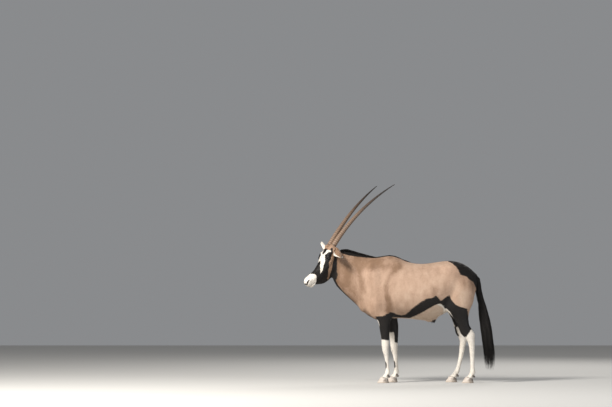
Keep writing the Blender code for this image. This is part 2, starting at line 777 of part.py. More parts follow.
def horn_stations():
    """Distances and radii along a horn: plain sunk base, rings, then a smooth point."""
    length = HORN_LENGTH + HORN_SUNK
    ringed = HORN_LENGTH * HORN_RINGED_SHARE
    start = HORN_SUNK + 0.016

    def thickness(distance):
        share = max(distance - HORN_SUNK, 0.0) / HORN_LENGTH
        return HORN_RADIUS * (1 - share) ** 0.85 + HORN_TIP_RADIUS * share

    stations = [(0.0, HORN_RADIUS - 0.001), (HORN_SUNK, HORN_RADIUS - 0.001), (start, HORN_RADIUS - 0.0004)]
    for ring in range(HORN_RINGS):
        share = ring / HORN_RINGS
        at = start + (ringed - start) * (share + 0.12 * share * (share - 1))
        pitch = (ringed - start) / HORN_RINGS
        rise = HORN_RING_RISE * (1 - 0.75 * share)
        stations.append((at + pitch * 0.45, thickness(at) + rise))
        stations.append((at + pitch * 0.95, thickness(at) - rise * 0.25))
    for step in range(1, 8):
        share = step / 7
        at = ringed + (length - ringed) * share
        stations.append((at, thickness(at)))
    return stations


def horn(name, side):
    """One horn as rings square to its curved middle line."""
    stations = horn_stations()
    rings = []
    for distance, radius in stations:
        centre = horn_frame(side, distance)
        ahead = horn_frame(side, distance + 0.01)
        behind = horn_frame(side, max(distance - 0.01, 0.0))
        along = (ahead - behind).normalized()
        across = (head_place().to_3x3() @ Vector((0.0, 1.0, 0.0)))
        across = (across - along * across.dot(along)).normalized()
        other = along.cross(across)
        ring = []
        for step in range(HORN_SIDES):
            angle = 2 * math.pi * step / HORN_SIDES
            ring.append(centre + (across * math.cos(angle) + other * math.sin(angle)) * radius)
        rings.append(ring)
    return loft(name, rings, "horn_dark")


def horns(nodes):
    """Both horns, each in its own socket in the skull."""
    for name, side in (("horn_left", 1.0), ("horn_right", -1.0)):
        nodes[name] = keep_largest(horn(name, side))
        path = [horn_frame(side, distance) for distance in (0.0, HORN_SUNK + 0.03)]
        along = (path[1] - path[0]).normalized()
        path = [path[0] - along * CUT_GAP, path[0] + along * HORN_SUNK, path[1]]
        tool = loft("tool", tube_rings(path, [HORN_RADIUS + 0.0012] * 3, 20))
        nodes["head"] = keep_largest(apply_boolean(nodes["head"], tool, "DIFFERENCE"))
        remove([tool])


def eyes(nodes):
    """Eyeballs deep in the head, under lids that leave an almond opening."""
    turned = head_place().to_3x3().to_4x4()
    for name, side in (("eye_left", 1.0), ("eye_right", -1.0)):
        down, across, depth = EYE_PLACE
        centre = in_head(down, side * (across - EYE_RADIUS * 0.62), depth)
        place = Matrix.Translation(centre) @ turned
        bm = bmesh.new()
        bmesh.ops.create_icosphere(bm, subdivisions=3, radius=EYE_RADIUS + LID_THICKNESS, matrix=place)
        lids = object_from(bm, "lids", "coat_fawn")
        nodes["head"] = unite(nodes["head"], [lids])
        out = Vector((0.0, side * (EYE_RADIUS + LID_THICKNESS * 0.6), 0.0))
        slot = place @ Matrix.Translation(out) @ Matrix.Rotation(EYE_SLANT, 4, "Y")
        slot = slot @ Matrix.Diagonal((*LID_OPENING, 1.0))
        bm = bmesh.new()
        bmesh.ops.create_icosphere(bm, subdivisions=3, radius=1.0, matrix=slot)
        tool = object_from(bm, "tool", "coat_fawn")
        nodes["head"] = apply_boolean(nodes["head"], tool, "DIFFERENCE")
        remove([tool])
        bm = bmesh.new()
        bmesh.ops.create_icosphere(bm, subdivisions=3, radius=EYE_RADIUS + CUT_GAP, matrix=place)
        tool = object_from(bm, "tool", "coat_fawn")
        nodes["head"] = keep_largest(apply_boolean(nodes["head"], tool, "DIFFERENCE"))
        remove([tool])
        bm = bmesh.new()
        bmesh.ops.create_icosphere(bm, subdivisions=2, radius=EYE_RADIUS, matrix=place)
        nodes[name] = keep_largest(object_from(bm, name, "eye_gloss"))


def ear_directions(side):
    """Axis, width and back directions of an ear: the left hangs out and down, the right stands up."""
    if side > 0:
        axis = Vector((0.15, -0.86, -0.47)).normalized()
        back = Vector((0.29, -0.40, 0.87))
    else:
        axis = Vector((-0.36, 0.82, 0.44)).normalized()
        back = Vector((0.80, 0.12, 0.46))
    back = (back - axis * back.dot(axis)).normalized()
    return axis, axis.cross(back).normalized(), back


def ear_leaf(share, across):
    """A place on the ear's cup from shares of its length and width: a tube that opens to a leaf."""
    wrap = blend(EAR_WRAP, share)
    half = EAR_WIDTH / 2 * blend(EAR_OUTLINE, share)
    radius = half / math.sin(min(wrap, math.pi / 2))
    angle = across * wrap
    return share * EAR_LENGTH, radius * math.sin(angle), radius * (math.cos(angle) - 1.0) + EAR_ROOT_RADIUS


def ear_root(side):
    """Middle of an ear's root, in the side of the skull."""
    down, across, depth = EAR_PLACE
    return in_head(down, side * across, depth)


def ear(name, side):
    """One ear as a cupped leaf with a wall, on a short round root."""
    axis, wide, back = ear_directions(side)
    root = ear_root(side)
    bm = bmesh.new()
    bmesh.ops.create_grid(bm, x_segments=EAR_STEPS[0], y_segments=EAR_STEPS[1], size=0.5)
    for vert in bm.verts:
        along, across, lift = ear_leaf(vert.co.x + 0.5, vert.co.y * 2)
        vert.co = root + axis * along + wide * across + back * lift
    leaf = object_from(bm, "leaf", "coat_fawn")
    wall = leaf.modifiers.new("wall", "SOLIDIFY")
    wall.thickness = EAR_WALL
    wall.offset = 0.0
    solid = evaluated_copy(leaf, name, "coat_fawn")
    remove([leaf])
    bm = bmesh.new()
    bm.from_mesh(solid.data)
    bmesh.ops.recalc_face_normals(bm, faces=bm.faces[:])
    bm.to_mesh(solid.data)
    bm.free()
    path = [root + axis * distance for distance in (-EAR_SUNK, 0.0, EAR_PLUG)]
    plug = EAR_ROOT_RADIUS + EAR_WALL * 0.3
    stub = loft("stub", tube_rings(path, [plug, plug, plug * 0.7], 12))
    return keep_largest(unite(solid, [stub]))


def ear_socket(side):
    """A tapered round cutter, a little wider than the ear's root, that clears the skull round it."""
    axis, _, back = ear_directions(side)
    root = ear_root(side)
    path = []
    radii = []
    for distance in (-EAR_SUNK - CUT_GAP, 0.0, EAR_PLUG, EAR_PLUG * 2):
        half = EAR_WIDTH / 2 * blend(EAR_OUTLINE, distance / EAR_LENGTH)
        path.append(root + axis * distance + back * (EAR_ROOT_RADIUS - half))
        radii.append(half + EAR_WALL / 2 + CUT_GAP * 3)
    return loft("tool", tube_rings(path, radii, 24))


def ears(nodes):
    """Both ears, each in its own socket in the head."""
    for name, side in (("ear_left", 1.0), ("ear_right", -1.0)):
        nodes[name] = ear(name, side)
        tool = ear_socket(side)
        nodes["head"] = keep_largest(apply_boolean(nodes["head"], tool, "DIFFERENCE"))
        remove([tool])


def muzzle_cuts(nodes):
    """Nostril slits and the line of the mouth, cut into the head."""
    place = head_place()
    cuts = []
    for side in (1.0, -1.0):
        bm = bmesh.new()
        slit = Matrix.Translation((0.404, side * 0.036, -0.010))
        slit = slit @ Matrix.Rotation(side * math.radians(-29), 4, "Z")
        slit = slit @ Matrix.Rotation(math.radians(28), 4, "Y") @ Matrix.Diagonal((0.020, 0.010, 0.0055, 1))
        bmesh.ops.create_icosphere(bm, subdivisions=2, radius=1.0, matrix=place @ slit)
        cuts.append(object_from(bm, "nostril", "coat_fawn"))
        path = [place @ Vector((down, side * across, -depth)) for down, across, depth, _ in MOUTH_LINE]
        radii = [row[3] for row in MOUTH_LINE]
        cuts.append(loft("mouth_line", tube_rings(path, radii, 6)))
    for tool in cuts:
        nodes["head"] = keep_largest(apply_boolean(nodes["head"], tool, "DIFFERENCE"))
    remove(cuts)


def lock(name, path, widths, thickness, facing, finish="hair_black"):
    """One flat, tapered, bending lock: a flat six-sided section drawn along a path."""
    rings = []
    count = len(path)
    for index, (centre, width) in enumerate(zip(path, widths)):
        ahead = path[min(index + 1, count - 1)] - path[max(index - 1, 0)]
        along = ahead.normalized()
        across = along.cross(facing).normalized()
        out = across.cross(along).normalized()
        thick = thickness * (0.35 + 0.65 * width / max(widths))
        corners = ((-1.0, 0.0), (0.0, 1.0), (1.0, 0.0), (0.0, -1.0))
        ring = [centre + across * a * width / 2 + out * b * thick / 2 for a, b in corners]
        rings.append(ring)
    return loft(name, rings, finish)


def tail_core():
    """The tail's core, from the cut on the rump to the end of the dock."""
    path = [Vector((x, MIDPLANE_Y, z)) for x, z, _ in TAIL_CORE]
    radii = [row[2] for row in TAIL_CORE]
    rings = tube_rings(path, radii, 10)
    face_x = TAIL_CORE[0][0]
    for point in rings[0]:
        point.x = face_x
    for ring in rings[1:]:
        for point in ring:
            point.x = max(point.x, face_x + CUT_GAP)
    return loft("tail", rings, "hair_black")


def tail_locks():
    """Long locks that leave the core at many heights and hang to uneven tips."""
    draw = random.Random(SEED)
    made = []
    for index in range(TAIL_LOCKS):
        share = index / TAIL_LOCKS
        angle = index * 2.39996
        start = 0.80 - 0.22 * ((index * 0.618) % 1.0)
        tip = TAIL_TIP_LOW + (TAIL_TIP_HIGH - TAIL_TIP_LOW) * draw.random() ** 1.3
        reach = 0.55 + 0.45 * draw.random()
        wave = draw.uniform(0.0, 6.28)
        flare = draw.choice(TAIL_FLARES)
        steps = 5
        path = []
        widths = []
        for step in range(steps + 1):
            t = step / steps
            z = start + (tip - start) * t
            grow = min(t / 0.45, 1.0) ** 0.8 * reach
            tighten = 1.0 + flare * max(t - 0.6, 0.0) / 0.4
            sway = 0.006 * math.sin(wave + 7.0 * t) * t
            x = blend(TAIL_MIDDLE, z) + math.cos(angle) * TAIL_SPREAD_X * grow * tighten + sway
            y = MIDPLANE_Y + math.sin(angle) * TAIL_SPREAD_Y * grow * tighten + sway * 0.6
            path.append(Vector((x, y, z)))
            full = 0.036 - 0.006 * share
            widths.append(full * (1.0, 1.1, 1.05, 0.85, 0.55, 0.12)[step])
        facing = Vector((math.cos(angle), math.sin(angle), 0.05))
        made.append(lock(f"lock_{index}", path, widths, 0.013, facing))
    return made


def tail(nodes):
    """Tail core with its locks fused on."""
    nodes["tail"] = keep_largest(unite(tail_core(), tail_locks()))


def crest_height(x):
    """Top of the flesh along the neck and withers."""
    return blend([(row[0], row[1]) for row in TRUNK_SECTIONS], x)


def crest_side(x):
    """Sideways place of the crest."""
    return MIDPLANE_Y + blend([(row[0], row[5]) for row in TRUNK_SECTIONS], x)


def mane_locks():
    """Two staggered rows of short locks that lean back over the crest."""
    draw = random.Random(SEED + 1)
    made = []
    for index in range(MANE_LOCKS):
        share = index / (MANE_LOCKS - 1)
        x = MANE_FRONT_X + (MANE_REAR_X - MANE_FRONT_X) * share
        side = -1.0 if index % 2 else 1.0
        rise = MANE_RISE * (1.0 - 0.80 * share) * draw.uniform(0.85, 1.1)
        length = MANE_LENGTH * draw.uniform(0.9, 1.15)
        path = []
        for t, up in ((0.0, -MANE_ROOT_DEPTH), (0.30, 0.25 * rise), (0.65, 0.85 * rise), (1.0, rise)):
            px = x + length * t
            lean = side * (0.006 + 0.010 * t)
            path.append(Vector((px, crest_side(px) + lean, crest_height(px) + up)))
        widths = [0.020, 0.026, 0.019, 0.004]
        facing = Vector((0.0, side, 0.45)).normalized()
        made.append(lock(f"mane_{index}", path, widths, 0.012, facing))
    return made


def cut_line(cut, height):
    """Where a straight cut passes at a height."""
    (x_low, low), (x_high, high) = cut
    return x_low + (x_high - x_low) * (height - low) / (high - low)


def mane(nodes):
    """Mane locks fused on the neck; those past the neck's cut are left out."""
    kept = []
    for piece in mane_locks():
        ends = [vert.co for vert in piece.data.vertices]
        turned = math.tan(HEAD_CUT_TURN)
        behind_head = all(place.x > cut_line(HEAD_CUT, place.z) - (place.y - MIDPLANE_Y) * turned
                          + MANE_CLEARANCE for place in ends)
        before_torso = all(place.x < cut_line(NECK_CUT, place.z) - MANE_CLEARANCE for place in ends)
        if behind_head and before_torso:
            kept.append(piece)
        else:
            remove([piece])
    nodes["neck"] = keep_largest(unite(nodes["neck"], kept))


def shade(nodes):
    """Round the shading and name each node."""
    for name, node in nodes.items():
        node.name = name
        node.data.name = name
        node.data.shade_smooth()
        node.data.set_sharp_from_angle(angle=math.radians(50.0))


def build():
    """Make the whole animal."""
    clear_scene()
    nodes = part_flesh(fused_flesh())
    cut_feet(nodes)
    hooves(nodes)
    muzzle_cuts(nodes)
    horns(nodes)
    eyes(nodes)
    ears(nodes)
    tail(nodes)
    mane(nodes)
    shade(nodes)


build()
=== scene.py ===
# %% [markdown]
# This lesson dresses a gemsbok, the large desert antelope with long ringed horns, as a life-size
# museum model. The solids of the animal are already made and packed. They are loaded here as a
# fixed frame. Every piece made below is placed in that frame, in metres, with the floor at Z = 0
# and the nose towards -X. The skin, the hair, the horns, the eyes and the hooves are then made
# finer than the solids, one after the other.

# %% Load the frame
import math

import bmesh
import bpy
import numpy as np
from mathutils import Matrix, Vector
from mathutils.bvhtree import BVHTree


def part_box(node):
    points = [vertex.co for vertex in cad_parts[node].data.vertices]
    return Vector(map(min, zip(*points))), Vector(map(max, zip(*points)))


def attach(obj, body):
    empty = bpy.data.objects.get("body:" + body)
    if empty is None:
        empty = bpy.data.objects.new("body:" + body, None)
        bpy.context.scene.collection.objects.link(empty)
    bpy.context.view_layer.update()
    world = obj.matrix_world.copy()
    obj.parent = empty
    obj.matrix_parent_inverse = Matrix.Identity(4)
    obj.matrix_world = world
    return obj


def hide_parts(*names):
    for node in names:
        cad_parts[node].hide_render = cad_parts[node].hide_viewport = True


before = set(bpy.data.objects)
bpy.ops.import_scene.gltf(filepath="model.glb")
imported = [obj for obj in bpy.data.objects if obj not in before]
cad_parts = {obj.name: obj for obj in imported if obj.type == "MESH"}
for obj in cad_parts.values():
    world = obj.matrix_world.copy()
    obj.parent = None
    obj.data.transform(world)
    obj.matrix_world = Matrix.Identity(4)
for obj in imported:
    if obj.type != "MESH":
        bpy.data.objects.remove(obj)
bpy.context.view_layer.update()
print("nodes in the frame:", len(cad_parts))

# %% [markdown]
# The picture of a model starts with where the eye stands. The camera is far away with a long lens,
# at the height of the trunk, so the near and far legs hardly differ in size. It looks past the nose
# and a little upwards, because the animal stands low and to the right in the picture.

# %% The camera
MIDPLANE_Y = -0.080
# Width of the picture and focal length of the lens, both in pixels
IMAGE_WIDTH = 612
LENS_PIXELS = 2645.0
SENSOR_WIDTH = 36.0
CAMERA_PLACE = Vector((-0.888, MIDPLANE_Y - 25.0, 0.97))
CAMERA_TARGET = Vector((-0.888, MIDPLANE_Y, 1.69))


def make_camera():
    """A long lens far off the animal's left side."""
    data = bpy.data.cameras.new("museum_camera")
    data.sensor_width = SENSOR_WIDTH
    data.lens = LENS_PIXELS / IMAGE_WIDTH * SENSOR_WIDTH
    data.clip_end = 100.0
    camera = bpy.data.objects.new("museum_camera", data)
    bpy.context.scene.collection.objects.link(camera)
    camera.location = CAMERA_PLACE
    camera.rotation_euler = (CAMERA_TARGET - CAMERA_PLACE).to_track_quat("-Z", "Y").to_euler()
    bpy.context.scene.camera = camera
    return camera


camera = make_camera()
print("lens in millimetres:", round(camera.data.lens, 1))

# %% [markdown]
# Short hair shows its form best under one large soft light and a weaker fill. The key stands in
# front of the animal, to its left and above, so the top of the face and the front edge of the horns
# are bright. A pale floor carries the soft shadow of the hooves. The plain view transform keeps the
# warmth of the fawn and the white of the legs.

# %% Light and floor
# Each light: place, size, power and colour
LIGHTS = {
    "key": ((-4.6, -5.2, 5.6), 2.0, 1100.0, (1.0, 0.97, 0.92)),
    "fill": ((5.0, -5.0, 2.4), 4.0, 125.0, (0.92, 0.96, 1.0)),
    "rim": ((2.5, 5.5, 4.5), 3.0, 170.0, (1.0, 0.98, 0.95)),
}
AIM = Vector((0.0, MIDPLANE_Y, 0.8))
WORLD_COLOUR = (0.90, 0.92, 0.95, 1.0)
WORLD_STRENGTH = 0.28
FLOOR_REACH = 14.0
FLOOR_COLOUR = (0.50, 0.49, 0.47, 1.0)
FLOOR_ROUGHNESS = 0.9


def make_light(name, place, size, energy, colour):
    """A square soft light that looks at the animal."""
    data = bpy.data.lights.new(name, "AREA")
    data.size = size
    data.energy = energy
    data.color = colour
    lamp = bpy.data.objects.new(name, data)
    bpy.context.scene.collection.objects.link(lamp)
    lamp.location = place
    lamp.rotation_euler = (AIM - Vector(place)).to_track_quat("-Z", "Y").to_euler()


def make_world():
    """An even pale surround."""
    world = bpy.data.worlds.new("studio")
    world.use_nodes = True
    background = world.node_tree.nodes["Background"]
    background.inputs["Color"].default_value = WORLD_COLOUR
    background.inputs["Strength"].default_value = WORLD_STRENGTH
    bpy.context.scene.world = world


def new_material(name):
    """An empty node material and its main shader."""
    made = bpy.data.materials.new(name)
    made.use_nodes = True
    return made, made.node_tree, made.node_tree.nodes["Principled BSDF"]


def object_from(bm, name):
    """Turn a bmesh into an object at the origin."""
    mesh = bpy.data.meshes.new(name)
    bm.to_mesh(mesh)
    bm.free()
    made = bpy.data.objects.new(name, mesh)
    bpy.context.scene.collection.objects.link(made)
    return made


def make_floor():
    """A wide pale floor."""
    bm = bmesh.new()
    bmesh.ops.create_grid(bm, x_segments=4, y_segments=4, size=FLOOR_REACH)
    floor = object_from(bm, "floor")
    made, _, shader = new_material("floor_pale")
    shader.inputs["Base Color"].default_value = FLOOR_COLOUR
    shader.inputs["Roughness"].default_value = FLOOR_ROUGHNESS
    floor.data.materials.append(made)


make_floor()
for name, row in LIGHTS.items():
    make_light(name, *row)
make_world()
bpy.context.scene.view_settings.view_transform = "Standard"

# %% [markdown]
# Many things sit on the head: eyes, ears, horns, nostrils and most of the markings. It helps to
# measure them in the head's own directions: down the face, out to its left, and into the head below
# the line of the forehead. The head is turned 35 degrees to its left, its face slopes 52 degrees
# and it is tipped a little.

# %% The head's own directions
HEAD_TURN = math.radians(35.0)
FACE_SLOPE = math.radians(52.0)
HEAD_TIP = math.radians(2.5)
FOREHEAD = Vector((-0.690, -0.084 + MIDPLANE_Y, 1.275))


def head_place():
    """Matrix of the head: X down the face, Y to its left, Z out of the forehead."""
    forward = Vector((-math.cos(HEAD_TURN), -math.sin(HEAD_TURN), 0.0))
    left = Vector((math.sin(HEAD_TURN), -math.cos(HEAD_TURN), math.sin(HEAD_TIP))).normalized()
    face = forward * math.cos(FACE_SLOPE) - Vector((0.0, 0.0, math.sin(FACE_SLOPE)))
    outward = face.cross(left).normalized()
    left = outward.cross(face).normalized()
    turn = Matrix((face.normalized(), left, outward)).transposed()
    return Matrix.Translation(FOREHEAD) @ turn.to_4x4()


HEAD = head_place()
HEAD_BACK = HEAD.inverted()


def in_head(down, side, depth):
    """A world place from distances down the face, to the left and below the forehead."""
    return HEAD @ Vector((down, side, -depth))


def head_measures(points):
    """Distances down the face, to the left and below the forehead of many world points."""
    turned = np.array(HEAD_BACK)
    local = points @ turned[:3, :3].T + turned[:3, 3]
    local[:, 2] *= -1.0
    return local


print("tip of the nose near", [round(value, 3) for value in in_head(0.42, 0.0, 0.04)])

# %% [markdown]
# The skin of a mammal has no seams, so all the solids of flesh become one closed surface. Copies of
# them are gathered in one mesh, and a voxel remesh melts them together over their thin cuts. A core
# for the tail goes in with them. The surface is then smoothed and drawn in by the depth of the
# coat, which leaves room for the hair on top.

# %% One skin from the solids of flesh
SKIN_VOXEL = 0.0080
SKIN_SMOOTH = 3
COAT_DEPTH = 0.0020
MERGE_DISTANCE = 0.000005
# A direction that no tube here runs along, which sets where its rings start
RING_START = Vector((0.99, 0.02, 0.14))
FLESH = [
    "head", "neck", "torso", "leg_front_left", "leg_front_right", "leg_hind_left", "leg_hind_right",
]
# Core of the tail: x, z and radius
TAIL_CORE = [
    (0.690, 1.000, 0.034), (0.730, 0.972, 0.029), (0.747, 0.925, 0.021), (0.755, 0.870, 0.017),
    (0.764, 0.790, 0.015), (0.773, 0.700, 0.013), (0.786, 0.610, 0.010), (0.800, 0.540, 0.005),
]
TAIL_CORE_SIDES = 16


def drawn_rings(rings):
    """A closed shell: a disc drawn out from one ring of places to the next."""
    bm = bmesh.new()
    bmesh.ops.create_circle(bm, cap_ends=True, radius=1.0, segments=len(rings[0]))
    bm.faces.ensure_lookup_table()
    cap = bm.faces[0]
    for index, ring in enumerate(rings):
        if index > 0:
            drawn = bmesh.ops.extrude_face_region(bm, geom=[cap])["geom"]
            if index > 1:
                bmesh.ops.delete(bm, geom=[cap], context="FACES_ONLY")
            cap = next(item for item in drawn if isinstance(item, bmesh.types.BMFace))
        for vert, place in zip(cap.verts, ring):
            vert.co = place
    bmesh.ops.recalc_face_normals(bm, faces=bm.faces[:])
    return bm


def tube(name, path, radii, sides):
    """A closed round tube along a path."""
    rings = []
    last = len(path) - 1
    for index in range(len(path)):
        ahead = (path[min(index + 1, last)] - path[max(index - 1, 0)]).normalized()
        across = ahead.cross(RING_START).normalized()
        other = ahead.cross(across)
        angles = [2 * math.pi * step / sides for step in range(sides)]
        reaches = [across * math.cos(angle) + other * math.sin(angle) for angle in angles]
        rings.append([path[index] + reach * radii[index] for reach in reaches])
    return object_from(drawn_rings(rings), name)


def applied(source, name):
    """A new object with the modifiers of another applied, and the other removed."""
    ready = source.evaluated_get(bpy.context.evaluated_depsgraph_get())
    mesh = bpy.data.meshes.new_from_object(ready)
    made = bpy.data.objects.new(name, mesh)
    bpy.context.scene.collection.objects.link(made)
    bpy.data.objects.remove(source, do_unlink=True)
    return made


def gather_flesh():
    """Copies of the solids of flesh, and the tail's core, in one mesh."""
    bm = bmesh.new()
    for name in FLESH:
        bm.from_mesh(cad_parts[name].data)
    bmesh.ops.remove_doubles(bm, verts=bm.verts[:], dist=MERGE_DISTANCE)
    path = [Vector((x, MIDPLANE_Y, z)) for x, z, _ in TAIL_CORE]
    core = tube("core", path, [row[2] for row in TAIL_CORE], TAIL_CORE_SIDES)
    bm.from_mesh(core.data)
    bpy.data.objects.remove(core, do_unlink=True)
    return object_from(bm, "gathered")


def melt(source):
    """Fuse, smooth and draw in the gathered flesh."""
    fuse = source.modifiers.new("fuse", "REMESH")
    fuse.mode = "VOXEL"
    fuse.voxel_size = SKIN_VOXEL
    even = source.modifiers.new("even", "SMOOTH")
    even.factor = 0.5
    even.iterations = SKIN_SMOOTH
    inward = source.modifiers.new("inward", "DISPLACE")
    inward.strength = -COAT_DEPTH
    inward.mid_level = 0.0
    return applied(source, "skin")


skin = melt(gather_flesh())
print("faces of the first skin:", len(skin.data.polygons))

# %% [markdown]
# The head gets the most looks, so its faces are made smaller before its forms are worked. Only the
# faces of the head are subdivided, which keeps the whole skin light. The short locks that the
# solids carry along the neck are smoothed away here, because finer hair will take their place.

# %% A finer head and a clean crest
# The top of the neck and withers is read at these places along the body, in slabs this thick
CREST_PLACES = np.arange(-0.62, 0.14, 0.02)
CREST_SLAB = 0.025
CREST_TOP = 0.02
CREST_STEPS = 40
CREST_END = -0.120
CREST_HALF_WIDTH = 0.045
CREST_DEPTH = 0.050
# Box of the head in its own directions: down the face, to the left and out of the forehead
HEAD_LOW = (-0.060, -0.13, -0.24)
HEAD_HIGH = (0.46, 0.13, 0.05)
ALL_AXES = {"use_axis_x": True, "use_axis_y": True, "use_axis_z": True}


def crest_line():
    """Sideways place and height of the top of the neck and withers, from the solids."""
    solids = [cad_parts[name].data for name in ("neck", "torso")]
    points = np.array([vert.co for mesh in solids for vert in mesh.vertices])
    rows = []
    for x in CREST_PLACES:
        near = points[np.abs(points[:, 0] - x) < CREST_SLAB]
        top = near[:, 2].max()
        high = near[near[:, 2] > top - CREST_TOP]
        rows.append((high[:, 1].mean(), top))
    rows = np.array(rows)
    for _ in range(3):
        rows[1:-1] = (rows[:-2] + rows[1:-1] * 2 + rows[2:]) / 4
    return rows


def refine_head(bm):
    """Halve the edges of the faces of the head."""
    chosen = set()
    for face in bm.faces:
        local = HEAD_BACK @ face.calc_center_median()
        if all(low < value < high for low, value, high in zip(HEAD_LOW, local, HEAD_HIGH)):
            chosen.update(face.edges)
    bmesh.ops.subdivide_edges(bm, edges=list(chosen), cuts=1, use_grid_fill=True, smooth=0.0)


def calm_crest(bm, rows):
    """Smooth the top of the neck until the locks of the solids are gone."""
    soft = []
    for vert in bm.verts:
        x, y, z = vert.co
        if CREST_PLACES[0] < x < CREST_END:
            middle = np.interp(x, CREST_PLACES, rows[:, 0])
            top = np.interp(x, CREST_PLACES, rows[:, 1])
            if abs(y - middle) < CREST_HALF_WIDTH and z > top - CREST_DEPTH:
                soft.append(vert)
    for _ in range(CREST_STEPS):
        bmesh.ops.smooth_vert(bm, verts=soft, factor=0.5, **ALL_AXES)
    return len(soft)


crest_rows = crest_line()
bm = bmesh.new()
bm.from_mesh(skin.data)
refine_head(bm)
calmed = calm_crest(bm, crest_rows)
bm.to_mesh(skin.data)
bm.free()
print("faces now:", len(skin.data.polygons), "crest points calmed:", calmed)

# %% [markdown]
# A clay modeller pushes and pulls soft forms with a thumb. In code, each push has a place in the
# head's directions, a reach and a height, and moves the skin along its normals. The bone under the
# eye, the hollow over it, the wings of the nostrils, the cheek muscle and the lips are made this
# way, the same on both sides.

# %% Thumb work on the head
# Each push: down the face, sideways, depth; reach along each; height
PUSHES = {
    "brow": ((0.066, 0.070, 0.012), (0.030, 0.020, 0.016), 0.0040),
    "hollow_over_eye": ((0.040, 0.078, 0.052), (0.020, 0.020, 0.020), -0.0035),
    "tear_bone": ((0.150, 0.060, 0.040), (0.040, 0.020, 0.014), 0.0030),
    "cheek_ridge": ((0.165, 0.062, 0.078), (0.050, 0.030, 0.012), 0.0040),
    "under_ridge": ((0.190, 0.055, 0.108), (0.050, 0.030, 0.018), -0.0035),
    "jaw_muscle": ((0.085, 0.068, 0.130), (0.050, 0.040, 0.045), 0.0045),
    "nose_side": ((0.280, 0.045, 0.045), (0.050, 0.030, 0.020), -0.0035),
    "nostril_wing": ((0.385, 0.045, 0.012), (0.022, 0.020, 0.016), 0.0045),
    "behind_nostril": ((0.350, 0.048, 0.020), (0.018, 0.020, 0.014), -0.0030),
    "upper_lip": ((0.375, 0.046, 0.050), (0.034, 0.020, 0.012), 0.0035),
    "lower_lip": ((0.360, 0.036, 0.090), (0.030, 0.020, 0.010), 0.0025),
    "lip_corner": ((0.300, 0.050, 0.088), (0.014, 0.016, 0.012), -0.0025),
    "nose_groove": ((0.415, 0.000, 0.040), (0.020, 0.006, 0.020), -0.0030),
}


def point_rows(target, kind="co"):
    """The places of a mesh's points as rows of numbers, or their normals."""
    rows = np.empty(len(target.data.vertices) * 3)
    target.data.vertices.foreach_get(kind, rows)
    return rows.reshape(-1, 3)


def push_head(target):
    """Move the points of the head along their normals by all the pushes."""
    places = point_rows(target)
    local = head_measures(places)
    local[:, 1] = np.abs(local[:, 1])
    move = np.zeros(len(places))
    for where, reach, height in PUSHES.values():
        away = (local - np.array(where)) / np.array(reach)
        move += height * np.exp(-(away ** 2).sum(axis=1))
    places += point_rows(target, "normal") * move[:, None]
    target.data.vertices.foreach_set("co", places.ravel())
    target.data.update()
    return float(np.abs(move).max())


print("deepest push in millimetres:", round(push_head(skin) * 1000, 1))

# %% [markdown]
# An ear is a leaf of skin rolled into a cup at its root and open towards its tip. A flat grid is
# bent into that shape by a formula, given a thin wall, and then fused with the skin, so the ear
# grows out of the head without a seam. The left ear hangs outwards and down, and the right one is
# lifted, as an animal does when it listens back.

# %% The ears
SIDES = {"left": 1.0, "right": -1.0}
EAR_LENGTH = 0.175
EAR_WIDTH = 0.088
EAR_WALL = 0.0030
EAR_ROOT_RADIUS = 0.017
EAR_PLACE = (-0.014, 0.080, 0.066)
EAR_GRID = (30, 26)
EAR_SUNK_SHARE = 0.03
# Root of an ear: distance along its axis and share of its radius
EAR_PLUG = [(-0.018, 1.0), (0.0, 1.0), (0.010, 0.95), (0.018, 0.75), (0.024, 0.35)]
EAR_PLUG_SIDES = 24
# Half angle that the ear wraps round its hollow, and share of its full width, by share of length
EAR_WRAP = [(0.0, 2.55), (0.15, 2.10), (0.35, 1.55), (0.65, 1.10), (1.0, 0.70)]
EAR_OUTLINE = [
    (0.0, 0.40), (0.18, 0.62), (0.38, 0.92), (0.55, 1.0), (0.72, 0.80), (0.88, 0.42), (1.0, 0.06),
]


def read_table(table, at):
    """A value between the rows of a table of (place, value)."""
    return float(np.interp(at, [row[0] for row in table], [row[1] for row in table]))


def ear_root(side, share=1.0):
    """Where an ear leaves the skull, or a place at a share of its distance from the middle."""
    down, out, depth = EAR_PLACE
    return in_head(down, side * out * share, depth)


def ear_directions(side):
    """Axis, width and back directions of an ear."""
    if side > 0:
        axis = Vector((0.15, -0.86, -0.47)).normalized()
        back = Vector((0.29, -0.40, 0.87))
    else:
        axis = Vector((-0.36, 0.82, 0.44)).normalized()
        back = Vector((0.80, 0.12, 0.46))
    back = (back - axis * back.dot(axis)).normalized()
    return axis, axis.cross(back).normalized(), back


def ear_point(side, share, across):
    """A place on the middle of an ear's wall from shares of its length and width."""
    axis, wide, back = ear_directions(side)
    wrap = read_table(EAR_WRAP, share)
    half = EAR_WIDTH / 2 * read_table(EAR_OUTLINE, share)
    radius = half / math.sin(min(wrap, math.pi / 2))
    angle = across * wrap
    lift = radius * (math.cos(angle) - 1.0) + EAR_ROOT_RADIUS - COAT_DEPTH
    along = axis * (share * EAR_LENGTH)
    return ear_root(side) + along + wide * (radius * math.sin(angle)) + back * lift


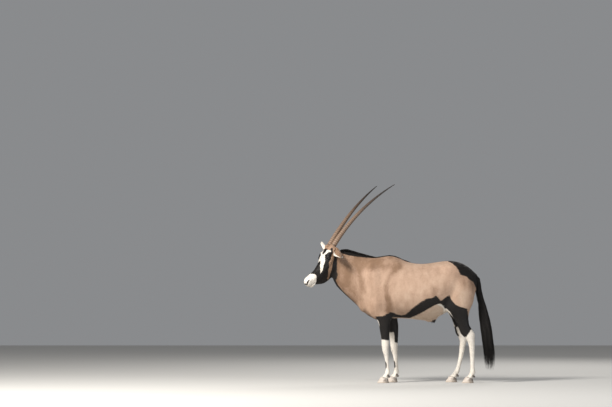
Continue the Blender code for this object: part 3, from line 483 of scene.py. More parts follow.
def ear_solid(name, side):
    """One ear as a closed cup with a wall."""
    bm = bmesh.new()
    bmesh.ops.create_grid(bm, x_segments=EAR_GRID[0], y_segments=EAR_GRID[1], size=0.5)
    for vert in bm.verts:
        share = (vert.co.x + 0.5) * (1.0 + EAR_SUNK_SHARE) - EAR_SUNK_SHARE
        vert.co = ear_point(side, max(share, 0.0), vert.co.y * 2)
        if share < 0:
            vert.co += ear_directions(side)[0] * share * EAR_LENGTH
    leaf = object_from(bm, name)
    wall = leaf.modifiers.new("wall", "SOLIDIFY")
    wall.thickness = EAR_WALL
    wall.offset = 0.0
    leaf = applied(leaf, name)
    bm = bmesh.new()
    bm.from_mesh(leaf.data)
    bmesh.ops.recalc_face_normals(bm, faces=bm.faces[:])
    bm.to_mesh(leaf.data)
    bm.free()
    return leaf


def ear_plug(name, side):
    """The round root that closes the bottom of the cup."""
    axis, _, _ = ear_directions(side)
    path = [ear_root(side) + axis * distance for distance, _ in EAR_PLUG]
    radii = [(EAR_ROOT_RADIUS - COAT_DEPTH) * share for _, share in EAR_PLUG]
    return tube(name, path, radii, EAR_PLUG_SIDES)


def solid_change(target, tool, operation):
    """Join or cut one closed mesh with another, and remove the other."""
    change = target.modifiers.new("change", "BOOLEAN")
    change.operation = operation
    change.object = tool
    change.solver = "MANIFOLD"
    result = applied(target, target.name)
    bpy.data.objects.remove(tool, do_unlink=True)
    return result


for label, side in SIDES.items():
    skin = solid_change(skin, ear_solid("ear_leaf_" + label, side), "UNION")
    skin = solid_change(skin, ear_plug("ear_plug_" + label, side), "UNION")
print("faces with ears:", len(skin.data.polygons))

# %% [markdown]
# Where an ear leaves the skull the joint of two closed shapes is a sharp crease. A few rounds of
# smoothing, only on the points close to the root, turn it into soft skin. The rest of the head gets
# one light round as well, because a voxel remesh leaves faint steps that a glossy coat would show.

# %% Soften the ear roots and the head
ROOT_REACH = 0.034
ROOT_INWARD = 0.92
ROOT_STEPS = 7
HEAD_STEPS = 3


def soften(target, chosen, steps):
    """Smooth only the chosen points of a mesh."""
    bm = bmesh.new()
    bm.from_mesh(target.data)
    bm.verts.ensure_lookup_table()
    soft = [bm.verts[index] for index in np.flatnonzero(chosen)]
    for _ in range(steps):
        bmesh.ops.smooth_vert(bm, verts=soft, factor=0.5, **ALL_AXES)
    bm.to_mesh(target.data)
    bm.free()
    return len(soft)


def near_roots(points):
    """Points close to the root of either ear."""
    chosen = np.zeros(len(points), bool)
    for side in SIDES.values():
        root = np.array(ear_root(side, ROOT_INWARD))
        chosen |= np.linalg.norm(points - root, axis=1) < ROOT_REACH
    return chosen


def on_head(points):
    """Points of the head without the outer parts of the ears."""
    down, side, depth = head_measures(points).T
    chosen = (down > -0.07) & (down < 0.45) & (np.abs(side) < 0.088) & (depth < 0.24)
    return chosen & (points[:, 0] < -0.56)


points = point_rows(skin)
print("points of the head eased:", soften(skin, on_head(points), HEAD_STEPS))
print("points of the ear roots eased:", soften(skin, near_roots(points), ROOT_STEPS))

# %% [markdown]
# An eye sits deep in its socket, and two lids close over the ball. A ball a little larger than the
# eye is fused with the skin, its foot is smoothed into the face, an almond is cut out of it for the
# slit between the lids, and last a ball of the eye's own size is cut away, so the lids lie on the
# eye like real ones.

# %% Lids
EYE_PLACE = (0.096, 0.0745, 0.040)
EYE_RADIUS = 0.0185
EYE_SUNK = 0.62
EYE_CENTRE = (EYE_PLACE[0], EYE_PLACE[1] - EYE_RADIUS * EYE_SUNK, EYE_PLACE[2])
EYE_SLANT = math.radians(-32.0)
EYE_DETAIL = 5
LID_THICKNESS = 0.0040
LID_OPENING = (0.0224, 0.0134, 0.0122)
SLIT_OUT = 0.6
SOCKET_ROOM = 0.0002
# Foot of the lids: nearest and farthest from the eye's centre, reach outwards, and rounds of smoothing
LID_FOOT = (0.019, 0.044, 0.0045, 10)


def eye_matrix(side):
    """Centre of an eye, turned with the head."""
    down, across, depth = EYE_CENTRE
    centre = in_head(down, side * across, depth)
    return Matrix.Translation(centre) @ HEAD.to_3x3().to_4x4()


def ball(name, place):
    """An icosphere of radius one, shaped by a matrix."""
    bm = bmesh.new()
    bmesh.ops.create_icosphere(bm, subdivisions=EYE_DETAIL, radius=1.0, matrix=place)
    return object_from(bm, name)


def add_lids(target, side):
    """Lids over one eye, with an almond slit."""
    place = eye_matrix(side)
    outer = place @ Matrix.Scale(EYE_RADIUS + LID_THICKNESS, 4)
    target = solid_change(target, ball("lid_ball", outer), "UNION")
    points = point_rows(target)
    away = np.linalg.norm(points - np.array(place.translation), axis=1)
    outward = head_measures(points)[:, 1] * side
    nearest, farthest, reach, steps = LID_FOOT
    soften(target, (away > nearest) & (away < farthest) & (outward < EYE_PLACE[1] + reach), steps)
    out = Matrix.Translation((0.0, side * (EYE_RADIUS + LID_THICKNESS * SLIT_OUT), 0.0))
    slit = place @ out @ Matrix.Rotation(EYE_SLANT, 4, "Y") @ Matrix.Diagonal((*LID_OPENING, 1.0))
    target = solid_change(target, ball("slit", slit), "DIFFERENCE")
    socket = place @ Matrix.Scale(EYE_RADIUS + SOCKET_ROOM, 4)
    return solid_change(target, ball("socket", socket), "DIFFERENCE")


for side in SIDES.values():
    skin = add_lids(skin, side)
print("faces with lids:", len(skin.data.polygons))

# %% [markdown]
# Nostrils of an antelope are comma-shaped slits, wide below and drawn out backwards at the top.
# Each is cut with a short bent tube that tapers. The mouth is a thin groove that runs along both
# sides of the muzzle and meets at the front. The cuts leave small loose shells inside, so only the
# largest shell is kept.

# %% Nostrils and mouth
NOSTRIL_PATH = [
    (0.420, 0.019, 0.023), (0.413, 0.026, 0.016), (0.404, 0.032, 0.010), (0.394, 0.038, 0.0065),
    (0.384, 0.043, 0.005),
]
NOSTRIL_RADII = [0.0050, 0.0074, 0.0068, 0.0046, 0.0020]
MOUTH_PATH = [
    (0.296, 0.052, 0.088), (0.315, 0.052, 0.083), (0.335, 0.0515, 0.078), (0.352, 0.0505, 0.074),
    (0.370, 0.048, 0.070), (0.386, 0.044, 0.066), (0.400, 0.038, 0.063), (0.414, 0.026, 0.061),
    (0.423, 0.000, 0.060),
]
MOUTH_RADIUS = 0.0030
NOSTRIL_SIDES = 16
MOUTH_SIDES = 10


def smooth_path(rows, steps):
    """Places along a smooth curve through rows of head distances."""
    rows = np.array(rows)
    count = len(rows)
    at = np.linspace(0, count - 1, (count - 1) * steps + 1)
    path = []
    for share in at:
        index = min(int(share), count - 2)
        t = share - index
        before, start = rows[max(index - 1, 0)], rows[index]
        end, after = rows[index + 1], rows[min(index + 2, count - 1)]
        bend = (2 * before - 5 * start + 4 * end - after) * t * t
        bend += (3 * start - before - 3 * end + after) * t ** 3
        path.append(start + 0.5 * ((end - before) * t + bend))
    return path


def mouth_radii(count):
    """Radii of the mouth's groove, which starts and ends thin."""
    from_end = [min(step, count - 1 - step) for step in range(count)]
    return [MOUTH_RADIUS * min(1.0, 0.3 + step / 5) for step in from_end]


for side in SIDES.values():
    path = [in_head(down, side * out, depth) for down, out, depth in smooth_path(NOSTRIL_PATH, 3)]
    last = len(NOSTRIL_RADII) - 1
    radii = list(np.interp(np.linspace(0, last, len(path)), range(last + 1), NOSTRIL_RADII))
    skin = solid_change(skin, tube("nostril", path, radii, NOSTRIL_SIDES), "DIFFERENCE")
mouth = [(down, -out, depth) for down, out, depth in MOUTH_PATH] + MOUTH_PATH[-2::-1]
path = [in_head(*row) for row in smooth_path(mouth, 2)]
skin = solid_change(skin, tube("mouth", path, mouth_radii(len(path)), MOUTH_SIDES), "DIFFERENCE")


def keep_largest(target):
    """Drop every loose shell but the largest, and split faces into triangles."""
    bm = bmesh.new()
    bm.from_mesh(target.data)
    seen = set()
    groups = []
    for start in bm.faces:
        if start in seen:
            continue
        seen.add(start)
        group = [start]
        for face in group:
            for edge in face.edges:
                for other in edge.link_faces:
                    if other not in seen:
                        seen.add(other)
                        group.append(other)
        groups.append(group)
    groups.sort(key=len, reverse=True)
    loose = [face for group in groups[1:] for face in group]
    bmesh.ops.delete(bm, geom=loose, context="FACES")
    bmesh.ops.triangulate(bm, faces=bm.faces[:])
    bmesh.ops.recalc_face_normals(bm, faces=bm.faces[:])
    bm.to_mesh(target.data)
    bm.free()
    target.data.shade_smooth()
    return len(loose)


print("loose faces dropped:", keep_largest(skin), "triangles of the skin:", len(skin.data.polygons))

# %% [markdown]
# The coat of a gemsbok is a map: black, white and fawn fields with crisp edges. Each field is
# described as strokes of a round brush, with a place and a radius at each end, in the body's own
# directions. For any point the brush tells how far inside the paint it lies. The skin and every
# tuft of hair ask the same strokes, so their edges agree.

# %% Brush strokes for the markings
# Every leg is measured from its own middle, at heights this far apart up to the top of the leg
LEG_STEP = 0.012
LEG_HEIGHTS = np.arange(0.006, 0.66, LEG_STEP)
LEG_TOP = 0.54
# Under this height, over this depth, a pair's legs come to share one place along the body
LEG_JOIN = 0.72
LEG_JOIN_DEPTH = 0.16
# Sideways bend of the neck, by place along the body
NECK_TURN = [(-0.64, -0.045), (-0.60, -0.030), (-0.54, -0.018), (-0.46, -0.008), (-0.38, 0.0)]


def curve(values, table):
    """Straight runs between the rows of a table, for many values."""
    return np.interp(values, [row[0] for row in table], [row[1] for row in table])


def fade(values, start, end):
    """A soft step from 0 at start to 1 at end."""
    share = np.clip((values - start) / (end - start), 0.0, 1.0)
    return share * share * (3.0 - 2.0 * share)


def brush(points, rows):
    """How far each point lies inside a stroke; rows are x, y, z and radius."""
    rows = np.array(rows, float)
    best = np.full(len(points), -9.0)
    for start, end in zip(rows, rows[1:]):
        along = end[:3] - start[:3]
        share = np.clip((points - start[:3]) @ along / max(along @ along, 1e-9), 0.0, 1.0)
        away = np.linalg.norm(points - start[:3] - share[:, None] * along, axis=1)
        best = np.maximum(best, start[3] + (end[3] - start[3]) * share - away)
    return best


def brush_from_side(folded, rows):
    """The same for a stroke seen from the side; rows are x, z and radius."""
    return brush(folded * (1.0, 0.0, 1.0), [(x, 0.0, z, radius) for x, z, radius in rows])


def body_measures(points):
    """Points with the two sides of the body folded together: x, distance from the middle, z."""
    middle = MIDPLANE_Y + curve(points[:, 0], NECK_TURN)
    return np.stack([points[:, 0], np.abs(points[:, 1] - middle), points[:, 2]], axis=1)


def leg_number(points):
    """Which leg a point of the lower body is on: 0 and 1 the front pair, 2 and 3 the hind pair."""
    return (points[:, 0] > 0.2) * 2 + (points[:, 1] > MIDPLANE_Y)


def leg_middles(points):
    """Middle of each leg at every 12 mm of height, from the skin itself."""
    numbers = leg_number(points)
    table = np.zeros((4, len(LEG_HEIGHTS), 2))
    for number in range(4):
        mine = points[numbers == number]
        for index, height in enumerate(LEG_HEIGHTS):
            slab = mine[np.abs(mine[:, 2] - height) < LEG_STEP]
            if len(slab) > 8 and height < LEG_TOP:
                table[number, index] = (slab[:, :2].min(axis=0) + slab[:, :2].max(axis=0)) / 2
            else:
                table[number, index] = table[number, index - 1]
    return table


leg_table = leg_middles(point_rows(skin))


def leg_measures(points):
    """Place as on the pair's left leg, distances aft and outward of the leg's middle, and number."""
    numbers = leg_number(points)
    heights = points[:, 2]
    middles = np.zeros((len(points), 2))
    left_x = np.zeros(len(points))
    for number in range(4):
        mine = numbers == number
        for axis in range(2):
            middles[mine, axis] = np.interp(heights[mine], LEG_HEIGHTS, leg_table[number, :, axis])
        left_x[mine] = np.interp(heights[mine], LEG_HEIGHTS, leg_table[number // 2 * 2, :, 0])
    fore = points[:, 0] - middles[:, 0]
    low = np.clip((LEG_JOIN - heights) / LEG_JOIN_DEPTH, 0.0, 1.0)
    place = points[:, 0] + (left_x - middles[:, 0]) * low
    across = points[:, 1] - middles[:, 1]
    outward = np.where(points[:, 1] > MIDPLANE_Y, across, -across)
    return place, fore, outward, numbers


print("leg middles at the hock:", np.round(leg_table[:, 30, 0], 3))

# %% [markdown]
# Now the markings of the body, first as lists of strokes and edges. Black: the stripe from jaw to
# chest, the mane and the line along the back, the wedge on the rump, the flank stripe with its
# patch on the thigh, the garters of the forelegs and a spot on each front cannon. White: the lower
# legs, a streak down the front edge of each foreleg and a thin edge in the fold between belly and
# thigh. The rest is fawn. The belly's hair is white, but it is painted pale fawn: painted shade.

# %% Strokes and edges on the body
THROAT = [
    (-0.670, 0.0, 0.985, 0.062), (-0.625, 0.0, 0.940, 0.060), (-0.600, 0.0, 0.905, 0.050),
    (-0.540, 0.0, 0.845, 0.036), (-0.460, 0.0, 0.770, 0.029), (-0.380, 0.0, 0.700, 0.028),
    (-0.300, 0.0, 0.628, 0.034), (-0.220, 0.0, 0.594, 0.040), (-0.150, 0.0, 0.590, 0.050),
    (-0.100, 0.0, 0.590, 0.040),
]
MANE_STRIPE = [
    (-0.640, 0.0, 1.238, 0.036), (-0.560, 0.0, 1.238, 0.044), (-0.480, 0.0, 1.222, 0.048),
    (-0.410, 0.0, 1.205, 0.042), (-0.340, 0.0, 1.192, 0.032), (-0.280, 0.0, 1.184, 0.028),
    (-0.220, 0.0, 1.186, 0.030), (-0.120, 0.0, 1.203, 0.033), (-0.030, 0.0, 1.190, 0.033),
    (0.060, 0.0, 1.150, 0.029), (0.120, 0.0, 1.128, 0.021), (0.200, 0.0, 1.122, 0.013),
    (0.300, 0.0, 1.130, 0.012), (0.400, 0.0, 1.145, 0.014), (0.470, 0.0, 1.140, 0.020),
]
# Edges of the flank stripe and of the patch on the thigh, as height by place along the body
STRIPE_TOP = [
    (-0.24, 0.600), (-0.189, 0.615), (-0.153, 0.640), (-0.10, 0.668), (-0.068, 0.660), (-0.038, 0.644),
    (0.010, 0.634), (0.052, 0.650), (0.100, 0.701), (0.173, 0.755), (0.233, 0.792), (0.293, 0.801),
    (0.325, 0.822), (0.345, 0.803), (0.372, 0.768), (0.395, 0.790), (0.425, 0.812), (0.452, 0.826),
    (0.477, 0.775), (0.509, 0.738), (0.541, 0.720), (0.589, 0.708), (0.630, 0.690),
]
STRIPE_BASE = [
    (-0.24, 0.560), (-0.11, 0.590), (-0.02, 0.604), (0.052, 0.601), (0.070, 0.604), (0.148, 0.637),
    (0.245, 0.692), (0.323, 0.736), (0.366, 0.748), (0.409, 0.712),
]
STRIPE_ENDS = (-0.235, 0.425)
STRIPE_INNER = 0.055
# Edges of the patch on the thigh, as place along the body by height
THIGH_FRONT = [
    (0.436, 0.584), (0.444, 0.570), (0.500, 0.549), (0.548, 0.528), (0.612, 0.497), (0.676, 0.456),
    (0.708, 0.420),
]
THIGH_REAR = [
    (0.430, 0.612), (0.460, 0.632), (0.508, 0.666), (0.580, 0.645), (0.644, 0.631), (0.692, 0.622),
    (0.720, 0.640),
]
RUMP_EDGE = [
    (0.400, 1.200), (0.428, 1.148), (0.477, 1.128), (0.509, 1.099), (0.541, 1.058), (0.557, 1.018),
    (0.613, 1.002), (0.637, 0.978), (0.680, 0.952), (0.705, 0.905), (0.760, 0.850),
]
RUMP_FRONT = 0.415
# Foot of the garter on the left and the right foreleg, and the patch's tip over the hock
GARTER_FEET = (0.406, 0.378)
HOCK_TIP = 0.436
# Spot on each front cannon: height, distances aft and outward of its middle, and its reaches
SPOT = (0.172, -0.022, 0.0)
SPOT_REACH = (0.040, 0.020, 0.03)
# White edge in the fold between belly and thigh, as x, height and half width
FOLD_EDGE = [
    (0.335, 0.742, 0.003), (0.381, 0.729, 0.007), (0.406, 0.708, 0.009), (0.440, 0.665, 0.008),
]
# White streak down the top of each foreleg's front edge
FORELEG_STREAK = [
    (-0.218, 0.012, 0.604, 0.010), (-0.200, 0.010, 0.567, 0.011), (-0.193, 0.006, 0.528, 0.003),
]
BELLY_TOP = [(-0.10, 0.612), (0.05, 0.608), (0.15, 0.640), (0.25, 0.695), (0.33, 0.740), (0.42, 0.760)]
SHEATH = [(0.322, 0.0, 0.566, 0.014), (0.335, 0.0, 0.558, 0.016)]
print("rows of the throat stripe:", len(THROAT))

# %% [markdown]
# A round stroke suits a stripe of even width, and a pair of edges suits a patch. A point lies
# inside a patch by the smaller of its distances to the edges. The smaller of two distances keeps
# what two fields share, and the larger joins them, so every marking is made of plain minimum and
# maximum steps.

# %% Black and white of the trunk and legs
def stripe_field(folded):
    """The flank stripe, between an upper and a lower edge."""
    x, side, z = folded.T
    inside = np.minimum(curve(x, STRIPE_TOP) - z, z - curve(x, STRIPE_BASE))
    inside = np.minimum(inside, side - STRIPE_INNER - 0.05 * np.clip((x - 0.36) / 0.10, 0.0, 1.0))
    first, last = STRIPE_ENDS
    return np.minimum(inside, np.minimum(x - first, last - x))


def rump_field(folded):
    """The black wedge on the croup, narrow in front and drawn down to the dock behind."""
    x, _, z = folded.T
    return np.minimum(z - curve(x, RUMP_EDGE), x - RUMP_FRONT)


def hind_leg_field(place, outward, z):
    """The patch on the thigh with its tip on the hock, on the outer side only."""
    edge = np.minimum(place - curve(z, THIGH_FRONT), curve(z, THIGH_REAR) - place) * 0.8
    upper = np.minimum(curve(place, STRIPE_TOP) - z, place - 0.405)
    inside = np.minimum(np.where(z > 0.70, upper, edge), z - HOCK_TIP)
    return np.minimum(inside, outward + 0.022 + 0.05 * np.clip((z - 0.60) / 0.1, 0.0, 1.0))


def leg_fields(points):
    """Black and white of the legs, and the streak of the forelegs, as distances inside."""
    place, fore, outward, numbers = leg_measures(points)
    z = points[:, 2]
    garter_foot = np.where(numbers == 0, *GARTER_FEET) - 0.15 * np.clip(fore, -0.04, 0.04)
    garter = np.minimum(z - garter_foot, 0.622 + 0.35 * np.clip(-fore, -0.06, 0.02) - z)
    garter = np.minimum(garter, 0.085 - np.abs(fore))
    inner_front = np.minimum(0.475 - z, 0.004 - fore)
    garter = np.where(outward < 0.0, np.minimum(garter, -inner_front), garter)
    shares = [(at - mid) / reach for at, mid, reach in zip((z, fore, outward), SPOT, SPOT_REACH)]
    spot = 1.0 - np.sqrt(sum(share ** 2 for share in shares))
    front = numbers < 2
    streak = np.where(front, brush(np.stack([place, outward, z], axis=1), FORELEG_STREAK), -1.0)
    black = np.where(front, np.maximum(garter, spot * 0.02), hind_leg_field(place, outward, z))
    hind_white = np.minimum(0.74 - z, np.maximum(curve(z, THIGH_FRONT) - place, -outward - 0.022))
    hind_white = np.maximum(hind_white, np.where(z < 0.52, 0.505 - z, -1.0))
    pale_front = np.where(outward < 0.0, inner_front * 0.25 - 0.002, -1.0)
    white = np.where(front, np.minimum(0.54 - z, np.maximum(garter_foot - z, pale_front)), hind_white)
    return black, np.maximum(white, streak), streak


flank = stripe_field(body_measures(point_rows(skin)))
print("points of the skin inside the flank stripe:", int((flank > 0).sum()))

# %% [markdown]
# Fawn isn't one colour. It is paler on the buttock. It is browner on the neck, partly from its own
# hair and partly as painted shade, and painted shade makes it browner over the withers, above the
# thigh and in the folds of the skin, partly from browner hair there, and pale fawn on the white
# belly. One number, the tone, says how much, and the coat's material turns it into a colour. The
# painted shade of the folds is strokes seen from the side, with a soft edge.

# %% Tone of the fawn, and all fields of the body
FOLD_BLUR = 0.034
# Painted shade in the folds, partly browner hair: how much, then the stroke as x, z and radius
FOLD_SHADES = {
    "behind_shoulder": (0.62, [(-0.010, 1.090, 0.002), (-0.110, 1.010, 0.004), (-0.138, 0.915, 0.006),
                               (-0.125, 0.800, 0.008)]),
    "armpit": (0.9, [(-0.125, 0.800, 0.004), (-0.108, 0.690, 0.026)]),
    "flank": (0.50, [(0.305, 0.885, 0.003), (0.312, 0.815, 0.006)]),
    "neck": (0.40, [(-0.530, 1.110, 0.003), (-0.505, 1.000, 0.006), (-0.500, 0.930, 0.003)]),
    "neck_root": (0.40, [(-0.400, 1.120, 0.003), (-0.370, 0.960, 0.008), (-0.350, 0.860, 0.004)]),
}


def tone_field(folded):
    """Lighter than the fawn of the ribs above 0, browner below 0."""
    x, side, z = folded.T
    buttock = np.exp(-((x - 0.574) / 0.050) ** 2 - ((z - 0.800) / 0.105) ** 4)
    tone = 0.65 * buttock * fade(side, 0.030, 0.070)
    # Browner towards and on the neck: partly its own hair, partly painted shade.
    tone -= 0.22 * fade(x, -0.130, -0.220)
    tone -= 0.50 * fade(x, -0.340, -0.460)
    # Painted shade over the withers.
    tone -= 0.70 * fade(z, 1.010, 1.110) * fade(x, 0.100, -0.060) * fade(x, -0.480, -0.360)
    # Painted shade on the upper rear of the thigh, which turns away from the light.
    tone -= 0.50 * fade(x, 0.525, 0.600) * fade(z, 0.840, 0.920)
    # Painted shade: the white hair of the belly is made pale fawn.
    tone += 0.9 * fade(curve(x, BELLY_TOP) - z, -0.010, 0.010) * (x > -0.10) * (x < 0.46)
    # Each fold darkens the fawn: painted shade, partly browner hair.
    for depth, rows in FOLD_SHADES.values():
        inside = np.clip(brush_from_side(folded, rows) / FOLD_BLUR + 1.0, 0.0, 1.0)
        tone -= depth * inside * (side > 0.06)
    return np.clip(tone, -1.0, 1.7)


def body_fields(points):
    """Black, white and tone of trunk, neck and legs."""
    folded = body_measures(points)
    x, _, z = folded.T
    strokes = [brush(folded, THROAT), brush(folded, MANE_STRIPE)]
    black = np.maximum.reduce([*strokes, rump_field(folded), stripe_field(folded)])
    leg_black, leg_white, streak = leg_fields(points)
    low = z < np.where(x > 0.3, 0.84, 0.70)
    black = np.where(low, np.maximum(black, leg_black), black)
    tail = np.minimum(x - 0.722, 1.0 - z)
    black = np.maximum(black, np.maximum(brush(folded, SHEATH), tail))
    black = np.minimum(black, np.where(low, -streak, 1.0))
    leg_white = np.where((z < 0.54) | (x > 0.40) | (x < 0.10), leg_white, -1.0)
    white = np.where(low, np.maximum(brush_from_side(folded, FOLD_EDGE), leg_white), -1.0)
    return black, white, tone_field(folded)


fawn_tone = tone_field(body_measures(point_rows(skin)))
print("tone of the coat runs from", round(fawn_tone.min(), 2), "to", round(fawn_tone.max(), 2))

# %% [markdown]
# The face is painted in the head's own directions, so the mask stays true although the head is
# turned. The white of the muzzle ends in a curve that runs forward under the jaw. A black patch
# lies on the bridge of the nose, a black band runs through each eye and widens over the cheek, and
# a white streak with a sharp tip lies between the two.

# %% Strokes and edges on the head
FOREHEAD_PATCH = [(0.038, 0.0, 0.0, 0.022), (0.062, 0.0, 0.002, 0.018), (0.086, 0.0, 0.006, 0.003)]
NOSE_PATCH = [
    (0.152, 0.0, 0.018, 0.006), (0.176, 0.0, 0.018, 0.017), (0.198, 0.0, 0.016, 0.034),
    (0.240, 0.0, 0.012, 0.055), (0.300, 0.0, 0.010, 0.070),
]
EYE_BAND = [
    (0.010, 0.058, 0.022, 0.012), (0.050, 0.074, 0.034, 0.016), (0.100, 0.076, 0.036, 0.024),
    (0.146, 0.066, 0.050, 0.019), (0.189, 0.058, 0.077, 0.031), (0.238, 0.046, 0.112, 0.047),
    (0.285, 0.040, 0.106, 0.046), (0.315, 0.040, 0.098, 0.040),
]
EYE_WEDGE = [
    (0.050, 0.076, 0.034, 0.018), (0.082, 0.066, 0.017, 0.019), (0.090, 0.034, 0.010, 0.006),
    (0.099, 0.052, 0.018, 0.016), (0.112, 0.050, 0.019, 0.010), (0.140, 0.060, 0.036, 0.014),
]
JAW_BAND = [
    (0.045, 0.072, 0.080, 0.017), (0.090, 0.074, 0.112, 0.024), (0.142, 0.062, 0.148, 0.030),
    (0.190, 0.046, 0.192, 0.038), (0.210, 0.015, 0.220, 0.036),
]
CHEEK_BAND = [
    (0.052, 0.080, 0.052, 0.010), (0.110, 0.076, 0.078, 0.013), (0.180, 0.063, 0.122, 0.015),
    (0.222, 0.040, 0.164, 0.014),
]
BROW_STRIPE = [
    (0.036, 0.068, 0.012, 0.013), (0.056, 0.046, 0.006, 0.014), (0.072, 0.026, 0.007, 0.012),
    (0.090, 0.006, 0.008, 0.010),
]
WHITE_STREAK = [
    (0.128, 0.026, 0.014, 0.022), (0.155, 0.036, 0.022, 0.023), (0.190, 0.041, 0.034, 0.017),
    (0.232, 0.049, 0.055, 0.011), (0.268, 0.049, 0.066, 0.001),
]
WHITE_BAR = [(0.090, 0.006, 0.008, 0.010), (0.124, 0.0, 0.012, 0.030), (0.128, 0.026, 0.014, 0.022)]
# Black round the lower face: where it starts down the bridge, its depth there, and where all is black
NOSE_SIDE = (0.205, 0.100, 0.250)
# The mask lies a little towards the right side of the face, by this distance near its middle
MASK_SHIFT = 0.016
# White between the dark parts of the forehead: distances down the face, depth and sideways reach
WHITE_FOREHEAD = (0.032, 0.200, 0.032, 0.082)
# Edge of the white muzzle: distance down the face, by depth
MUZZLE_EDGE = [
    (0.0, 0.314), (0.015, 0.309), (0.031, 0.303), (0.044, 0.306), (0.060, 0.332), (0.074, 0.347),
    (0.080, 0.372), (0.12, 0.395),
]
NOSE_LEATHER = [(0.419, 0.020, 0.023, 0.008), (0.424, 0.0, 0.023, 0.010), (0.424, 0.0, 0.036, 0.004)]
# The bare skin reaches this much past a nostril
NOSTRIL_RIM = 0.0016
print("rows of the eye band:", len(EYE_BAND))

# %% [markdown]
# The fields of the face are laid over each other. Black takes all that its bands reach, except
# where white lies and along a fawn line on the cheek. White then fills the forehead between the
# dark parts. Bare dark skin is a field of its own, round the nose, the mouth, the nostrils and the
# eyes.

# %% Fields of the head
def head_fields(points):
    """Black, white and dark bare skin of the face, with a mark for points of the head."""
    local = head_measures(points)
    right = local[:, 1] < 0
    local[:, 1] = np.abs(local[:, 1])
    true_place = local.copy()
    shift = MASK_SHIFT * right * fade(local[:, 1], 0.060, 0.030)
    local[:, 1] = np.maximum(local[:, 1] - shift, 0.0)
    down, side, depth = local.T
    here = (down > -0.10) & (down < 0.47) & (side < 0.115) & (depth < 0.27) & (points[:, 0] < -0.575)
    muzzle = down - curve(depth, MUZZLE_EDGE)
    strokes = [brush(local, rows) for rows in (WHITE_STREAK, WHITE_BAR, BROW_STRIPE)]
    white = np.maximum.reduce([muzzle, *strokes])
    bands = [EYE_BAND, EYE_WEDGE, JAW_BAND, FOREHEAD_PATCH, NOSE_PATCH]
    first, reach, full = NOSE_SIDE
    nose_side = np.maximum(np.minimum(down - first, reach - depth), down - full)
    throat = brush(body_measures(points), THROAT)
    black = np.maximum.reduce([nose_side, throat] + [brush(local, rows) for rows in bands])
    black = np.minimum(black, -white)
    black = np.minimum(black, -brush(local, CHEEK_BAND))
    first, last, reach, wide = WHITE_FOREHEAD
    between = np.minimum(np.minimum(down - first, last - down), np.minimum(reach - depth, wide - side))
    white = np.maximum(white, between)
    mouth = [(*row, MOUTH_RADIUS) for row in smooth_path(MOUTH_PATH, 2)]
    nostril = [(*row, radius + NOSTRIL_RIM) for row, radius in zip(NOSTRIL_PATH, NOSTRIL_RADII)]
    dark = [brush(true_place, rows) for rows in (NOSE_LEATHER, mouth, nostril)]
    eye = EYE_RADIUS + LID_THICKNESS * 0.35 - np.linalg.norm(true_place - EYE_CENTRE, axis=1)
    return here, black, white, np.maximum.reduce([*dark, eye])


print("points of the head:", int(head_fields(point_rows(skin))[0].sum()))

# %% [markdown]
# An ear is white along its rim and inside. Its back is painted dark brown and the middle of its
# hollow painted dark, both as painted shade. A point of an ear is found by running the ear's own
# formula backwards: how far it lies along the axis, and at which share of the wrap. With the ears,
# the fields of the body and the head are joined in one list for any point.

# %% Fields of the ears, and all fields together
def ear_measures(points):
    """Share of length, sideways share and whether a point is in the hollow of an ear."""
    share = np.full(len(points), -1.0)
    across = np.zeros(len(points))
    hollow = np.zeros(len(points))
    for side in SIDES.values():
        axis, wide, back = (np.array(part) for part in ear_directions(side))
        away = points - np.array(ear_root(side))
        along = away @ axis / EAR_LENGTH
        wide_of = away @ wide
        lift = away @ back
        wrap = curve(along, EAR_WRAP)
        radius = EAR_WIDTH / 2 * curve(along, EAR_OUTLINE) / np.sin(np.minimum(wrap, math.pi / 2))
        centre = EAR_ROOT_RADIUS - COAT_DEPTH - radius
        angle = np.arctan2(wide_of, lift - centre) / wrap
        reach = np.hypot(wide_of, lift - centre)
        near = (along > 0.05) & (along < 1.06) & (np.abs(wide_of) < 0.055)
        near &= (lift > -0.07) & (lift < 0.028)
        fits = near & (np.abs(reach - radius) < 0.010) & (np.abs(angle) < 1.12)
        share[fits] = along[fits]
        across[fits] = angle[fits]
        hollow[fits] = (reach < radius)[fits]
    return share, across, hollow


def all_fields(points):
    """Every field for any points: black, white, tone, bare dark skin, and painted shade in the ears."""
    black, white, tone = body_fields(points)
    here, head_black, head_white, leather = head_fields(points)
    _, side, depth = head_measures(points).T
    black = np.where(here, np.maximum(head_black, brush(body_measures(points), MANE_STRIPE)), black)
    white = np.where(here, head_white, white)
    share, across, hollow = ear_measures(points)
    ear = share > 0.02
    black = np.where(ear, -0.02, black)
    rim = (np.abs(across) - np.where(side < 0, 0.35, 0.80)) * 0.03
    white = np.where(ear, np.maximum(rim, np.where(hollow > 0, 0.004, -0.02)), white)
    # Painted shade: each ear's back goes dark brown, and the face below the forehead browner.
    tone = np.where(ear, -1.0, np.where(here & (depth > 0.045), tone - 0.35, tone))
    leather = np.where(here & ~ear, leather, -1.0)
    # The last field is painted shade, darkest in the middle of an ear's hollow.
    return black, white, tone, leather, np.where(ear, hollow * (1.0 - np.abs(across)), 0.0)


FIELD_NAMES = ["black", "white", "tone", "leather", "hollow"]


def keep_values(mesh, name, values):
    """Store one number for each point of a mesh."""
    layer = mesh.attributes.new(name, "FLOAT", "POINT")
    layer.data.foreach_set("value", np.asarray(values, np.float32))


for name, values in zip(FIELD_NAMES, all_fields(point_rows(skin))):
    keep_values(skin.data, name, values)
    print(name, "covers", int((values > 0).sum()), "points")

# %% [markdown]
# Hair has a direction. On this animal it runs back along the trunk, back and down on the neck,
# straight down the legs and from the muzzle up to the horns on the face. The shader gets a set of
# places measured along that direction first, so that fine streaks of noise read as combed hair.

